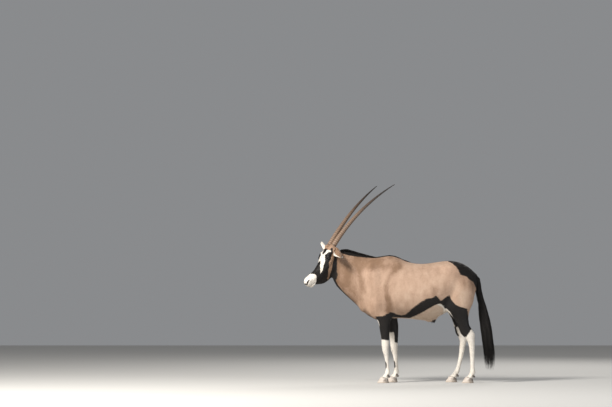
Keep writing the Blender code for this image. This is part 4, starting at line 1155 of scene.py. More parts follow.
# %% The lie of the hair
TRUNK_LIE = np.array((1.0, 0.0, -0.25))
NECK_LIE = np.array((0.75, 0.0, -0.65))
LEG_LIE = np.array((0.10, 0.0, -1.0))
TAIL_LIE = np.array((0.15, 0.0, -1.0))
FACE_LIE = -np.array(HEAD.to_3x3().col[0])


def region_shares(points):
    """Shares of neck, legs, head and tail at each point."""
    local = head_measures(points)
    x, z = points[:, 0], points[:, 2]
    neck = fade(x, -0.16, -0.34)
    legs = fade(z, 0.64, 0.52) * fade(np.abs(x - 0.24), 0.26, 0.32)
    head = fade(local[:, 2], 0.24, 0.19) * fade(local[:, 0], -0.06, 0.02) * fade(x, -0.585, -0.625)
    tail = fade(x, 0.70, 0.74)
    return neck, legs, head, tail


def lie_of_hair(points):
    """Direction of the hair at each point, before it is laid on the skin."""
    neck, legs, head, tail = region_shares(points)
    lie = TRUNK_LIE + (NECK_LIE - TRUNK_LIE) * neck[:, None]
    lie = lie + (LEG_LIE - lie) * legs[:, None]
    lie = lie + (TAIL_LIE - lie) * tail[:, None]
    lie = lie + (FACE_LIE - lie) * head[:, None]
    share, _, _ = ear_measures(points)
    for side in SIDES.values():
        axis, _, _ = ear_directions(side)
        mine = (share > 0.0) & (head_measures(points)[:, 1] * side > 0)
        lie[mine] = np.array(axis)
    return lie / np.linalg.norm(lie, axis=1)[:, None]


def comb_places(points):
    """Places measured along the lie of the hair, across it, and outwards."""
    _, legs, head, _ = region_shares(points)
    x, y, z = points.T
    trunk = np.stack([x * 0.95 - z * 0.30, z * 0.95 + x * 0.30, y], axis=1)
    comb = trunk + (np.stack([-z, x, y], axis=1) - trunk) * legs[:, None]
    return comb + (head_measures(points) - comb) * head[:, None]


comb = skin.data.attributes.new("comb", "FLOAT_VECTOR", "POINT")
comb.data.foreach_set("vector", comb_places(point_rows(skin)).astype(np.float32).ravel())
print("hair on the face lies towards", np.round(FACE_LIE, 2))

# %% [markdown]
# One material makes the coat. It reads the distances kept on the points, adds a little noise so
# that the edges look like hair and not like tape, and mixes fawn, white and black. The same nodes
# serve the skin, with a bump of combed hair, and the tufts, without it. First come the colours and
# a few helpers that add nodes and join them.

# %% The coat's colours
FAWN_DARK = (0.228, 0.136, 0.084, 1.0)
FAWN = (0.472, 0.320, 0.232, 1.0)
FAWN_PALE = (0.610, 0.468, 0.358, 1.0)
WHITE = (0.840, 0.800, 0.750, 1.0)
# A soiled white. Reached through the tone on the belly, it is painted shade on white hair.
WHITE_SOILED_AND_SHADED = (0.690, 0.620, 0.530, 1.0)
BLACK = (0.010, 0.0085, 0.0080, 1.0)
BLACK_DUSTY = (0.022, 0.018, 0.016, 1.0)
LEATHER = (0.034, 0.027, 0.026, 1.0)
# Painted shade deep in the hollow of an ear.
EAR_HOLLOW_SHADE = (0.110, 0.075, 0.060, 1.0)


def add_node(tree, kind, values=None, **settings):
    """A shader node with its settings and its inputs set."""
    node = tree.nodes.new(kind)
    for key, value in settings.items():
        setattr(node, key, value)
    for key, value in (values or {}).items():
        node.inputs[key].default_value = value
    return node


def attribute(tree, name):
    """The number kept on the points under a name."""
    return add_node(tree, "ShaderNodeAttribute", attribute_name=name).outputs["Fac"]


def noise(tree, place, scale, detail=2.0):
    """Noise around one half, at places given by a socket."""
    node = add_node(tree, "ShaderNodeTexNoise", {"Scale": scale, "Detail": detail})
    tree.links.new(place, node.inputs["Vector"])
    return node.outputs["Fac"]


def ranged(tree, value, low, high, to_low=0.0, to_high=1.0):
    """A value moved from one range to another, and held inside it."""
    limits = {"From Min": low, "From Max": high, "To Min": to_low, "To Max": to_high}
    node = add_node(tree, "ShaderNodeMapRange", limits)
    tree.links.new(value, node.inputs["Value"])
    return node.outputs["Result"]


def added(tree, first, second):
    """The sum of two sockets."""
    node = add_node(tree, "ShaderNodeMath", operation="ADD")
    tree.links.new(first, node.inputs[0])
    tree.links.new(second, node.inputs[1])
    return node.outputs["Value"]


def mixed(tree, share, first, second):
    """A colour between two, each a socket or four numbers."""
    node = add_node(tree, "ShaderNodeMix", data_type="RGBA")
    tree.links.new(share, node.inputs["Factor"])
    for index, colour in ((6, first), (7, second)):
        if isinstance(colour, tuple):
            node.inputs[index].default_value = colour
        else:
            tree.links.new(colour, node.inputs[index])
    return node.outputs[2]


def object_places(tree):
    """Places in the piece's own space."""
    return add_node(tree, "ShaderNodeTexCoord").outputs["Object"]


def stretched(tree, place, scale):
    """Places scaled along each axis, which draws a pattern out or packs it."""
    node = add_node(tree, "ShaderNodeMapping", {"Scale": scale})
    tree.links.new(place, node.inputs["Vector"])
    return node.outputs["Vector"]


def bumped(tree, shader, height, strength, distance):
    """Small relief on a shader from a height."""
    bump = add_node(tree, "ShaderNodeBump", {"Strength": strength, "Distance": distance})
    tree.links.new(height, bump.inputs["Height"])
    tree.links.new(bump.outputs["Normal"], shader.inputs["Normal"])


print("the fawn runs from", FAWN_DARK[:3], "to", FAWN_PALE[:3])

# %% [markdown]
# The edge of a marking moves in and out by a few millimetres of noise. White moves against black,
# so the two fit where they meet and no fawn shows between them. Slow noise makes patches and
# upright folds in the fawn, and fine noise and a number kept on each tuft vary it hair by hair.

# %% The coat's material
# Strength and distance of the bump of combed hair, and its stretch along and across the hair
HAIR_BUMP = (0.55, 0.0016)
HAIR_STRETCH = (60.0, 420.0, 420.0)
FOLD_STRETCH = (1.0, 1.0, 0.22)


def coat_colour(tree):
    """The coat's colour, and its shares of black and of bare skin."""
    place = object_places(tree)
    slow_edge = ranged(tree, noise(tree, place, 55.0), 0.0, 1.0, -0.0035, 0.0035)
    fine_edge = ranged(tree, noise(tree, place, 260.0), 0.0, 1.0, -0.0030, 0.0030)
    wobble = added(tree, slow_edge, fine_edge)
    opposite = ranged(tree, wobble, -0.01, 0.01, 0.01, -0.01)
    black = ranged(tree, added(tree, attribute(tree, "black"), opposite), -0.0012, 0.0012)
    white = ranged(tree, added(tree, attribute(tree, "white"), wobble), -0.0040, -0.0004)
    leather = ranged(tree, attribute(tree, "leather"), -0.0012, 0.0012)
    hollow = ranged(tree, added(tree, attribute(tree, "hollow"), wobble), 0.25, 0.75)
    upright = noise(tree, stretched(tree, place, FOLD_STRETCH), 20.0)
    folds = ranged(tree, upright, 0.35, 0.65, -0.18, 0.18)
    patches = ranged(tree, noise(tree, place, 9.0, 4.0), 0.30, 0.70, -0.18, 0.18)
    fine = ranged(tree, noise(tree, place, 140.0), 0.25, 0.75, -0.22, 0.22)
    shade = added(tree, attribute(tree, "shade"), fine)
    tone = added(tree, added(tree, attribute(tree, "tone"), added(tree, patches, folds)), shade)
    fawn = mixed(tree, ranged(tree, tone, -1.0, 0.0), FAWN_DARK, FAWN)
    fawn = mixed(tree, ranged(tree, tone, 0.0, 1.0), fawn, FAWN_PALE)
    # Above a tone of 1 the fawn runs towards a soiled white; on the belly this is painted shade on
    # white hair.
    fawn = mixed(tree, ranged(tree, tone, 1.0, 1.7), fawn, WHITE_SOILED_AND_SHADED)
    varied_shade = added(tree, patches, shade)
    soiled = mixed(tree, ranged(tree, varied_shade, -0.35, 0.45), WHITE_SOILED_AND_SHADED, WHITE)
    dusty = mixed(tree, ranged(tree, varied_shade, -0.1, 0.7), BLACK, BLACK_DUSTY)
    colour = mixed(tree, white, fawn, soiled)
    # Painted shade deep in the hollows of the ears.
    colour = mixed(tree, hollow, colour, EAR_HOLLOW_SHADE)
    colour = mixed(tree, black, colour, dusty)
    return mixed(tree, leather, colour, LEATHER), black, leather


def coat_material(name, bumpy):
    """The coat's material, with or without the bump of combed hair."""
    made, tree, shader = new_material(name)
    colour, black, leather = coat_colour(tree)
    tree.links.new(colour, shader.inputs["Base Color"])
    roughness = ranged(tree, added(tree, black, leather), 0.0, 1.0, 0.70, 0.55)
    tree.links.new(roughness, shader.inputs["Roughness"])
    shader.inputs["Specular IOR Level"].default_value = 0.26
    if bumpy:
        comb = add_node(tree, "ShaderNodeAttribute", attribute_name="comb").outputs["Vector"]
        bumped(tree, shader, noise(tree, stretched(tree, comb, HAIR_STRETCH), 1.0, 3.0), *HAIR_BUMP)
    return made


skin_material = coat_material("gemsbok_skin", True)
tuft_material = coat_material("gemsbok_tufts", False)
skin.data.materials.clear()
skin.data.materials.append(skin_material)
print("nodes in the coat's material:", len(skin_material.node_tree.nodes))

# %% [markdown]
# Every tuft needs a root on the skin and a place on a flat map of it. The skin is unwrapped by its
# own shape, and the roots are drawn at random over its triangles, more where hair is shorter and
# finer. A root keeps its place, the skin's normal and its place on the map.

# %% Roots for the tufts
SEED = 7
UNWRAP_ANGLE = math.radians(66.0)


def unwrap(target):
    """Give the skin a map made from its own shape."""
    target.data.uv_layers.new(name="OFBake")
    bpy.context.view_layer.objects.active = target
    target.select_set(True)
    bpy.ops.object.mode_set(mode="EDIT")
    bpy.ops.mesh.select_all(action="SELECT")
    bpy.ops.uv.smart_project(angle_limit=UNWRAP_ANGLE, island_margin=0.002)
    bpy.ops.object.mode_set(mode="OBJECT")
    target.select_set(False)


def read_surface(target):
    """Corners, normals, map places and areas of the skin's triangles."""
    mesh = target.data
    count = len(mesh.polygons)
    corners = np.empty(count * 3, np.int32)
    mesh.loops.foreach_get("vertex_index", corners)
    corners = corners.reshape(-1, 3)
    places = point_rows(target)
    uvs = np.empty(count * 6, np.float32)
    mesh.uv_layers["OFBake"].uv.foreach_get("vector", uvs)
    first, second, third = (places[corners[:, index]] for index in range(3))
    areas = np.linalg.norm(np.cross(second - first, third - first), axis=1) / 2
    return {"corners": corners, "places": places, "normals": point_rows(target, "normal"),
            "uvs": uvs.reshape(-1, 3, 2), "areas": areas, "middles": (first + second + third) / 3}


def draw_roots(surface, weights, count, rng):
    """Random roots over the triangles, in proportion to area and weight."""
    chance = surface["areas"] * weights
    chosen = rng.choice(len(chance), count, p=chance / chance.sum())
    first = np.sqrt(rng.random(count))
    second = rng.random(count)
    shares = np.stack([1.0 - first, first * (1.0 - second), first * second], axis=1)[:, :, None]
    corners = surface["corners"][chosen]
    places = (surface["places"][corners] * shares).sum(axis=1)
    normals = (surface["normals"][corners] * shares).sum(axis=1)
    normals /= np.linalg.norm(normals, axis=1)[:, None]
    return {"places": places, "normals": normals, "uvs": (surface["uvs"][chosen] * shares).sum(axis=1)}


unwrap(skin)
surface = read_surface(skin)
rng = np.random.default_rng(SEED)
print("area of the skin in square metres:", round(float(surface["areas"].sum()), 2))

# %% [markdown]
# A tuft of short hair is a slim closed spike: three corners at its sunk root and one tip. Long
# strands get more rings of three corners. Hundreds of thousands are made by writing their points
# and triangles as arrays. The shading of a short tuft leans towards the skin's own, so the coat
# reads as one soft surface. Each tuft also carries one small patch of the map at its root, so a
# baked picture gives it the colour of the skin that it grows from.

# %% Make tufts
# Rings of a tuft: share of its length, share of its width, rise in shares of its length
TUFT_RINGS = [(0.0, 1.0, -0.015), (1.0, 0.0, 0.085)]
# Side of the patch of the map that a tuft covers
PATCH = 0.003
# Height of a strand's section against half its width, and how round a short tuft is shaded
STRAND_HEIGHT = 0.55
ROUNDING = 0.35
# The three sides of a section, by its corners
SECTION_SIDES = ((0, 2), (2, 1), (1, 0))


def strands(name, paths, sides, tops, widths, uvs, fields, flat=False):
    """Closed strands of triangular section along many paths; the last place of each is its tip."""
    count, rings = paths.shape[:2]
    solid = rings - 1
    shares = np.linspace(0.0, 1.0, rings)
    body = paths[:, :solid, None, :]
    half = widths[:, :solid, None, None] / 2
    offsets = np.stack([sides, -sides, tops * STRAND_HEIGHT], axis=2)[:, :solid]
    corners = (body + offsets * half).reshape(count, solid * 3, 3)
    points = np.concatenate([corners, paths[:, -1:, :]], axis=1)
    faces = [(0, 1, 2)]
    for ring in range(solid - 1):
        for first, second in SECTION_SIDES:
            low, high = ring * 3, ring * 3 + 3
            faces.append((low + first, low + second, high + second))
            faces.append((low + first, high + second, high + first))
    tip = solid * 3
    for first, second in SECTION_SIDES:
        faces.append((tip - 3 + first, tip - 3 + second, tip))
    faces = np.array(faces)
    per_tuft = tip + 1
    triangles = (faces[None] + np.arange(count)[:, None, None] * per_tuft).reshape(-1, 3)
    mesh = bpy.data.meshes.new(name)
    mesh.vertices.add(count * per_tuft)
    mesh.vertices.foreach_set("co", points.astype(np.float32).ravel())
    mesh.loops.add(triangles.size)
    mesh.loops.foreach_set("vertex_index", triangles.astype(np.int32).ravel())
    mesh.polygons.add(len(triangles))
    mesh.polygons.foreach_set("loop_start", np.arange(0, triangles.size, 3, dtype=np.int32))
    mesh.update(calc_edges=True)
    across = np.tile(np.array((1.0, -1.0, 0.0)), solid)
    patch = np.stack([np.append(across, 0.0) * PATCH / 2,
                      (np.append(np.repeat(shares[:solid], 3), 1.0) - 0.5) * PATCH], axis=1)
    corner_uvs = uvs[:, None, :] + patch[None]
    layer = mesh.uv_layers.new(name="OFBake")
    corner_uvs = corner_uvs.reshape(-1, 2)[triangles.ravel()]
    layer.uv.foreach_set("vector", corner_uvs.astype(np.float32).ravel())
    for key, values in fields.items():
        keep_values(mesh, key, np.repeat(values, per_tuft))
    mesh.shade_smooth()
    if flat:
        rounded = (tops[:, :solid, None] + offsets * ROUNDING).reshape(count, -1, 3)
        normals = np.concatenate([rounded, tops[:, -1:]], axis=1)
        mesh.normals_split_custom_set_from_vertices(normals.reshape(-1, 3).astype(np.float32))
    mesh.materials.append(tuft_material)
    made = bpy.data.objects.new(name, mesh)
    bpy.context.scene.collection.objects.link(made)
    return made


print("rings of a short tuft, its tip among them:", len(TUFT_RINGS))

# %% [markdown]
# A tuft lies along the skin in the direction of the hair, turned a little at random, and rises
# towards its tip. Its sizes are drawn around a base. No tuft grows in an eye, a nostril, the mouth
# or a hoof, or under a horn. The triangles of the skin are sorted into body, legs, face and ears,
# because each has hair of its own length.

# %% Short tufts, and where they grow
TUFT_SHADE = 0.28
HORN_FOOT = (-0.036, 0.036, 0.031)
HORN_FOOT_REACH = 0.030
HOOF_TOP = 0.052


def varied(base, spread, count):
    """Sizes around a base."""
    return base * rng.uniform(1.0 - spread, 1.0 + spread, count)


def short_coat(name, roots, length, width, jitter=0.12, rise=1.0, shorten=1.0):
    """Short straight tufts that lie along the skin; length and width are a base and its spread."""
    places, normals = roots["places"], roots["normals"]
    lengths = varied(*length, len(places)) * shorten
    widths = varied(*width, len(places))
    lie = lie_of_hair(places)
    lie += rng.normal(0.0, jitter, lie.shape)
    lie -= normals * (lie * normals).sum(axis=1)[:, None]
    lie /= np.linalg.norm(lie, axis=1)[:, None]
    side = np.cross(normals, lie)
    paths, spread = [], []
    for share, width, lift in TUFT_RINGS:
        lifted = lift * lengths * rise
        paths.append(places + lie * (share * lengths)[:, None] + normals * lifted[:, None])
        spread.append(widths * width)
    fields = dict(zip(FIELD_NAMES, all_fields(places)))
    fields["shade"] = rng.uniform(-TUFT_SHADE, TUFT_SHADE, len(places))
    sides = np.repeat(side[:, None], len(TUFT_RINGS), axis=1)
    tops = np.repeat(normals[:, None], len(TUFT_RINGS), axis=1)
    paths, spread = np.stack(paths, axis=1), np.stack(spread, axis=1)
    return strands(name, paths, sides, tops, spread, roots["uvs"], fields, flat=True)


def clear_of_openings(points):
    """Points that are not in an eye, a nostril, the mouth, a hoof or under a horn."""
    local = head_measures(points)
    local[:, 1] = np.abs(local[:, 1])
    here, _, _, leather = head_fields(points)
    horn_base = np.linalg.norm(local - HORN_FOOT, axis=1) < HORN_FOOT_REACH
    return (leather < 0.0) & ~(here & horn_base) & (points[:, 2] > HOOF_TOP)


def part_of(roots, keep):
    """Some of the roots."""
    return {key: values[keep] for key, values in roots.items()}


def fine_roots(weights, count):
    """Roots drawn by weight, without those in openings."""
    roots = draw_roots(surface, weights, count, rng)
    return part_of(roots, clear_of_openings(roots["places"]))


middles = surface["middles"]
_, leg_share, head_share, _ = region_shares(middles)
ear_share = (ear_measures(middles)[0] > 0.0).astype(float)
on_leg = leg_share > 0.5
on_face = (head_share > 0.5) & (ear_share == 0)
on_body = ~on_leg & ~on_face & (ear_share == 0)
print("triangles on body, legs and face:", on_body.sum(), on_leg.sum(), on_face.sum())

# %% [markdown]
# Now the short coat itself. The tufts on the trunk are about 15 mm long and lie flat. They are
# shorter on the legs and the head, and shortest near the hooves and on the muzzle. The trunk's
# tufts are split in pieces from neck to tail, so that no piece grows past two hundred thousand
# triangles.

# %% Short coat
BODY_TUFTS = 204000
BODY_PIECES = 5
LEG_TUFTS = 44000
HEAD_TUFTS = 46000
EAR_TUFTS = 13000
# Length and width of each kind of tuft, both as a base and its spread
BODY_SIZES = ((0.0145, 0.35), (0.0019, 0.30))
LEG_SIZES = ((0.0110, 0.30), (0.0014, 0.25))
HEAD_SIZES = ((0.0078, 0.30), (0.0012, 0.25))
EAR_SIZES = ((0.0085, 0.35), (0.0012, 0.25))
coat = []

roots = fine_roots(on_body.astype(float), BODY_TUFTS)
order = np.argsort(roots["places"][:, 0])
for index, chosen in enumerate(np.array_split(order, BODY_PIECES)):
    coat.append(short_coat(f"coat_body_{index + 1}", part_of(roots, chosen), *BODY_SIZES, jitter=0.13))

roots = fine_roots(on_leg * (0.8 + 0.6 * fade(middles[:, 2], 0.30, 0.10)), LEG_TUFTS)
shorten = 0.55 + 0.45 * fade(roots["places"][:, 2], 0.08, 0.45)
coat.append(short_coat("coat_legs", roots, *LEG_SIZES, shorten=shorten))

roots = fine_roots(on_face.astype(float), HEAD_TUFTS)
shorten = 1.0 - 0.50 * fade(head_measures(roots["places"])[:, 0], 0.20, 0.36)
coat.append(short_coat("coat_head", roots, *HEAD_SIZES, shorten=shorten))

coat.append(short_coat("coat_ears", fine_roots(ear_share, EAR_TUFTS), *EAR_SIZES, rise=0.8))
print("triangles of the short coat:", sum(len(piece.data.polygons) for piece in coat))

# %% [markdown]
# The mane is a short black brush on the crest that leans back. It is lower towards the withers, and
# goes on as a low line of hair over the front of the back. Its hairs are the same closed strands as
# the tufts, only longer, bent, and rooted in a narrow strip. Every strand bends over and ends
# level, at the height given for its place on the crest.

# %% Mane
MANE_STRANDS = 3500
MANE_FRONT = -0.606
MANE_REAR = 0.090
# Height, length and half width of the mane by place along the body
MANE_SIZES = [
    (-0.606, 0.012, 0.044, 0.019), (-0.550, 0.020, 0.043, 0.017), (-0.240, 0.008, 0.033, 0.011),
    (-0.120, 0.006, 0.026, 0.010), (0.090, 0.002, 0.018, 0.009),
]
# Rings of a strand: share of its length, of its height and of its width
MANE_RINGS = [
    (0.0, -0.10, 0.8), (0.22, 0.45, 1.0), (0.55, 0.86, 0.85), (0.80, 1.0, 0.6), (1.0, 1.0, 0.0),
]
MANE_HAIR = 0.0030


def long_fields(count):
    """Fields of long black hair."""
    fields = {name: np.full(count, -0.05) for name in FIELD_NAMES}
    fields["black"] = np.full(count, 0.02)
    fields["hollow"] = np.zeros(count)
    fields["shade"] = rng.uniform(-0.5, 0.5, count)
    return fields


def triangle_finder(target):
    """The triangles of a mesh, ready to ask for the nearest place."""
    bm = bmesh.new()
    bm.from_mesh(target.data)
    finder = BVHTree.FromBMesh(bm)
    bm.free()
    return finder


def roots_near(places):
    """Roots on the skin nearest to the given places."""
    found = [skin_finder.find_nearest(Vector(place)) for place in places]
    chosen = [row[2] for row in found]
    normals = surface["normals"][surface["corners"][chosen][:, 0]]
    uvs = surface["uvs"][chosen].mean(axis=1)
    return {"places": np.array([row[0] for row in found]), "normals": normals, "uvs": uvs}


def drawn_strands(name, roots, paths, widths, sides, fields):
    """Long strands from lists of places and widths, one for each ring."""
    paths = np.stack(paths, axis=1)
    ahead = np.gradient(paths, axis=1)
    sides = np.repeat(sides[:, None], paths.shape[1], axis=1)
    tops = np.cross(ahead, sides)
    tops /= np.maximum(np.linalg.norm(tops, axis=2), 1e-9)[:, :, None]
    sides = np.cross(tops, ahead)
    sides /= np.maximum(np.linalg.norm(sides, axis=2), 1e-9)[:, :, None]
    return strands(name, paths, sides, tops, np.stack(widths, axis=1), roots["uvs"], fields)


def make_mane():
    """Bent strands along the crest."""
    x = rng.uniform(MANE_FRONT, MANE_REAR, MANE_STRANDS)
    middle = np.interp(x, CREST_PLACES, crest_rows[:, 0])
    top = np.interp(x, CREST_PLACES, crest_rows[:, 1])
    sizes = np.array(MANE_SIZES).T
    height, reach, half = (np.interp(x, sizes[0], column) for column in sizes[1:])
    away = rng.normal(0.0, 0.45, MANE_STRANDS).clip(-1.0, 1.0) * half
    roots = roots_near(np.stack([x, middle + away, top], axis=1))
    places = roots["places"]
    rise = varied(1.0, 0.22, MANE_STRANDS) * height
    length = varied(1.0, 0.20, MANE_STRANDS) * reach
    lean = (places[:, 1] - middle) * 0.55 + rng.normal(0.0, 0.003, MANE_STRANDS)
    paths, widths = [], []
    for along, up, width in MANE_RINGS:
        step = np.stack([length * along, lean * along * 1.6, rise * up], axis=1)
        fall = np.interp(x + length * along, CREST_PLACES, crest_rows[:, 1]) - top
        step[:, 2] += np.minimum(fall, 0.0) * along
        paths.append(places + step)
        widths.append(varied(MANE_HAIR, 0.2, MANE_STRANDS) * width)
    turn = rng.normal(0.0, 0.5, MANE_STRANDS)
    sides = np.stack([turn, np.ones(MANE_STRANDS), np.zeros(MANE_STRANDS)], axis=1)
    return drawn_strands("mane_hair", roots, paths, widths, sides, long_fields(MANE_STRANDS))


skin_finder = triangle_finder(skin)
mane_hair = make_mane()
coat.append(mane_hair)
print("triangles of the mane:", len(mane_hair.data.polygons))

# %% [markdown]
# The tail hangs like that of a horse: short hair at the dock, then long black hair that swells
# behind the thigh and thins out to wisps near the fetlocks. A strand keeps its own place in the
# bundle from top to tip. The width of the bundle at each height is a short table, and slow waves
# keep the strands from looking combed by a machine.

# %% Tail
TAIL_STRANDS = 3100
TAIL_RINGS = 9
# Front and rear edge of the bundle of hair by height
TAIL_EDGES = [
    (0.100, 0.812, 0.882), (0.171, 0.794, 0.898), (0.283, 0.786, 0.897), (0.440, 0.767, 0.878),
    (0.520, 0.756, 0.868), (0.630, 0.743, 0.843), (0.710, 0.738, 0.820), (0.790, 0.738, 0.792),
    (0.900, 0.732, 0.768), (0.980, 0.715, 0.752),
]
TAIL_FILL = 0.95
TAIL_DEPTH_SHARE = 0.86
TAIL_HAIR = 0.0029
# Share of strands that are short wisps, and least and greatest length of the short and the long ones
TAIL_WISPS = 0.26
WISP_LENGTHS = (0.12, 0.30)
TAIL_LENGTHS = (0.32, 0.68)


def tail_section(height):
    """Middle and half width of the bundle at heights."""
    heights, front, rear = np.array(TAIL_EDGES).T
    front, rear = np.interp(height, heights, front), np.interp(height, heights, rear)
    return (front + rear) / 2, (rear - front) / 2


def make_tail():
    """Long strands from the core down to the tips."""
    count = TAIL_STRANDS
    angle = rng.uniform(0.0, 2 * math.pi, count)
    spread = np.sqrt(rng.random(count)) ** 0.8
    across, deep = np.cos(angle) * spread, np.sin(angle) * spread
    root_height = 0.520 + 0.440 * rng.random(count) ** 0.75
    core_x = curve(root_height, [(z, x) for x, z, _ in TAIL_CORE[::-1]])
    round_x, round_y = np.cos(angle) * 0.03, np.sin(angle) * 0.03
    roots = roots_near(np.stack([core_x + round_x, MIDPLANE_Y + round_y, root_height], axis=1))
    wisp = rng.random(count)
    short, long = rng.uniform(*WISP_LENGTHS, count), rng.uniform(*TAIL_LENGTHS, count)
    length = np.where(wisp < TAIL_WISPS, short, long)
    tip_height = np.maximum(root_height - length, 0.104 + 0.21 * rng.random(count) ** 1.25)
    phase, pace = rng.uniform(0, 2 * math.pi, count), rng.uniform(14.0, 26.0, count)
    sway = rng.uniform(0.0015, 0.0050, count)
    paths, widths = [], []
    for share in np.linspace(0.0, 1.0, TAIL_RINGS):
        height = root_height + (tip_height - root_height) * share
        middle, half = tail_section(height)
        x = middle + across * half * TAIL_FILL
        y = MIDPLANE_Y + deep * half * TAIL_FILL * TAIL_DEPTH_SHARE
        wave = sway * share * np.sin(phase + pace * height)
        place = np.stack([x + wave, y + wave * 0.7 * np.cos(phase), height], axis=1)
        join = fade(np.full(count, share), 0.0, 0.30)[:, None]
        start = roots["places"] + np.array((0.0, 0.0, 1.0)) * (height - root_height)[:, None]
        paths.append(start + (place - start) * join)
        taper = (0.7 + 0.5 * min(share / 0.2, 1.0)) * (1.0 - share ** 2.2)
        widths.append(varied(TAIL_HAIR, 0.2, count) * taper)
    sides = np.stack([-np.sin(angle), np.cos(angle), np.zeros(count)], axis=1)
    sides += rng.normal(0.0, 0.4, (count, 3))
    return drawn_strands("tail_hair", roots, paths, widths, sides, long_fields(count))


tail_hair = make_tail()
coat.append(tail_hair)
print("triangles of the tail:", len(tail_hair.data.polygons))

# %% [markdown]
# Some small places carry hair of their own: pale fringes inside the ears, lashes on the upper lids
# and a dark tuft at the tip of the sheath.

# %% Fringes, lashes and small tufts
EAR_FRINGE = 420
LASHES = 34
SHEATH_HAIRS = 150
SHEATH_TIP = (0.318, MIDPLANE_Y, 0.590)
# Rings of a bent strand: share of its length and of its width
BENT_RINGS = [(0.0, 0.8), (0.35, 1.0), (0.70, 0.7), (1.0, 0.0)]


def bent_strands(name, roots, ahead, droop, lengths, width, fields):
    """Strands that start one way and bend another."""
    ahead = ahead / np.linalg.norm(ahead, axis=1)[:, None]
    paths, widths = [], []
    count = len(lengths)
    for share, thick in BENT_RINGS:
        step = ahead * share + droop * share ** 2
        paths.append(roots["places"] - roots["normals"] * 0.0010 + step * lengths[:, None])
        widths.append(np.full(count, width * thick))
    sides = np.cross(ahead, roots["normals"] + rng.normal(0.0, 0.2, (count, 3)))
    return drawn_strands(name, roots, paths, widths, sides, fields)


def make_ear_fringe():
    """Pale hair that grows from the rims across the hollow of each ear."""
    share, across, hollow = ear_measures(middles)
    rim = (share > 0.12) & (share < 0.85) & (np.abs(across) > 0.62) & (hollow > 0)
    roots = draw_roots(surface, rim.astype(float), EAR_FRINGE, rng)
    share, across, _ = ear_measures(roots["places"])
    ahead = np.zeros((EAR_FRINGE, 3))
    left = head_measures(roots["places"])[:, 1] > 0
    for side, mine in ((1.0, left), (-1.0, ~left)):
        axis, wide, _ = (np.array(part) for part in ear_directions(side))
        ahead[mine] = axis * 0.6 - wide * np.sign(across[mine])[:, None] * 0.8
    ahead += roots["normals"] * 0.35 + rng.normal(0.0, 0.12, ahead.shape)
    fields = dict(zip(FIELD_NAMES, all_fields(roots["places"])))
    fields["white"] = np.full(EAR_FRINGE, 0.02)
    fields["hollow"] = np.zeros(EAR_FRINGE)
    fields["shade"] = rng.uniform(-0.3, 0.3, EAR_FRINGE)
    lengths = varied(0.017, 0.35, EAR_FRINGE)
    return bent_strands("ear_fringe", roots, ahead, np.zeros(ahead.shape), lengths, 0.0013, fields)


def make_lashes():
    """A row of lashes along the upper lid of each eye."""
    starts, outs = [], []
    for side in SIDES.values():
        turned = eye_matrix(side) @ Matrix.Rotation(EYE_SLANT, 4, "Y")
        for index in range(LASHES):
            angle = math.radians(20.0 + 140.0 * index / (LASHES - 1))
            along, up = math.cos(angle), math.sin(angle)
            start = Vector((along * LID_OPENING[0] * 0.80, side * 0.0165, up * LID_OPENING[1] * 0.86))
            starts.append(turned @ start)
            outs.append(turned.to_3x3() @ Vector((along * 0.5, side, up * 0.9 + 0.2)))
    roots = roots_near(starts)
    roots["normals"] = np.array([list(out.normalized()) for out in outs])
    count = len(starts)
    lengths = varied(0.0085, 0.2, count)
    droop = np.tile(np.array((-0.2, 0.0, -0.35)), (count, 1))
    return bent_strands("lashes", roots, roots["normals"], droop, lengths, 0.0009, long_fields(count))


def make_sheath_tuft():
    """A dark tuft that hangs from the tip of the sheath."""
    shape = (SHEATH_HAIRS, 3)
    roots = roots_near(SHEATH_TIP + rng.normal(0.0, 0.009, shape))
    ahead = np.array((0.10, 0.0, -1.0)) + rng.normal(0.0, 0.16, shape)
    lengths = varied(0.019, 0.3, SHEATH_HAIRS)
    fields = long_fields(SHEATH_HAIRS)
    return bent_strands("sheath_tuft", roots, ahead, np.zeros(shape), lengths, 0.0020, fields)


coat += [make_ear_fringe(), make_lashes(), make_sheath_tuft()]
print("triangles of the whole coat:", sum(len(piece.data.polygons) for piece in coat))

# %% [markdown]
# The eye of an antelope is large, dark and wet. Its ball is finer than the solid's, with a dark
# brown iris and a long pupil that lies level. The colour comes from how far each point looks away
# from the middle of the slit.

# %% Eyes
# Room left between a finished piece and what it lies in
CUT_GAP = 0.0003
PUPIL_REACH = (0.0062, 0.0040)
IRIS_REACH = 0.0125
PUPIL_COLOUR = (0.002, 0.002, 0.003, 1.0)
IRIS_COLOUR = (0.013, 0.007, 0.005, 1.0)
IRIS_RIM = (0.008, 0.006, 0.005, 1.0)


def make_eye_material():
    """A dark wet eye: pupil, iris and its rim from two numbers kept on the points."""
    made, tree, shader = new_material("eye_wet")
    iris = mixed(tree, ranged(tree, attribute(tree, "iris"), 0.75, 1.15), IRIS_COLOUR, IRIS_RIM)
    colour = mixed(tree, ranged(tree, attribute(tree, "pupil"), 0.9, 1.1), PUPIL_COLOUR, iris)
    tree.links.new(colour, shader.inputs["Base Color"])
    shader.inputs["Roughness"].default_value = 0.07
    shader.inputs["Coat Weight"].default_value = 0.6
    shader.inputs["Coat Roughness"].default_value = 0.03
    return made


def finished(piece, material):
    """A smooth piece with its material."""
    piece.data.shade_smooth()
    piece.data.materials.append(material)
    return piece


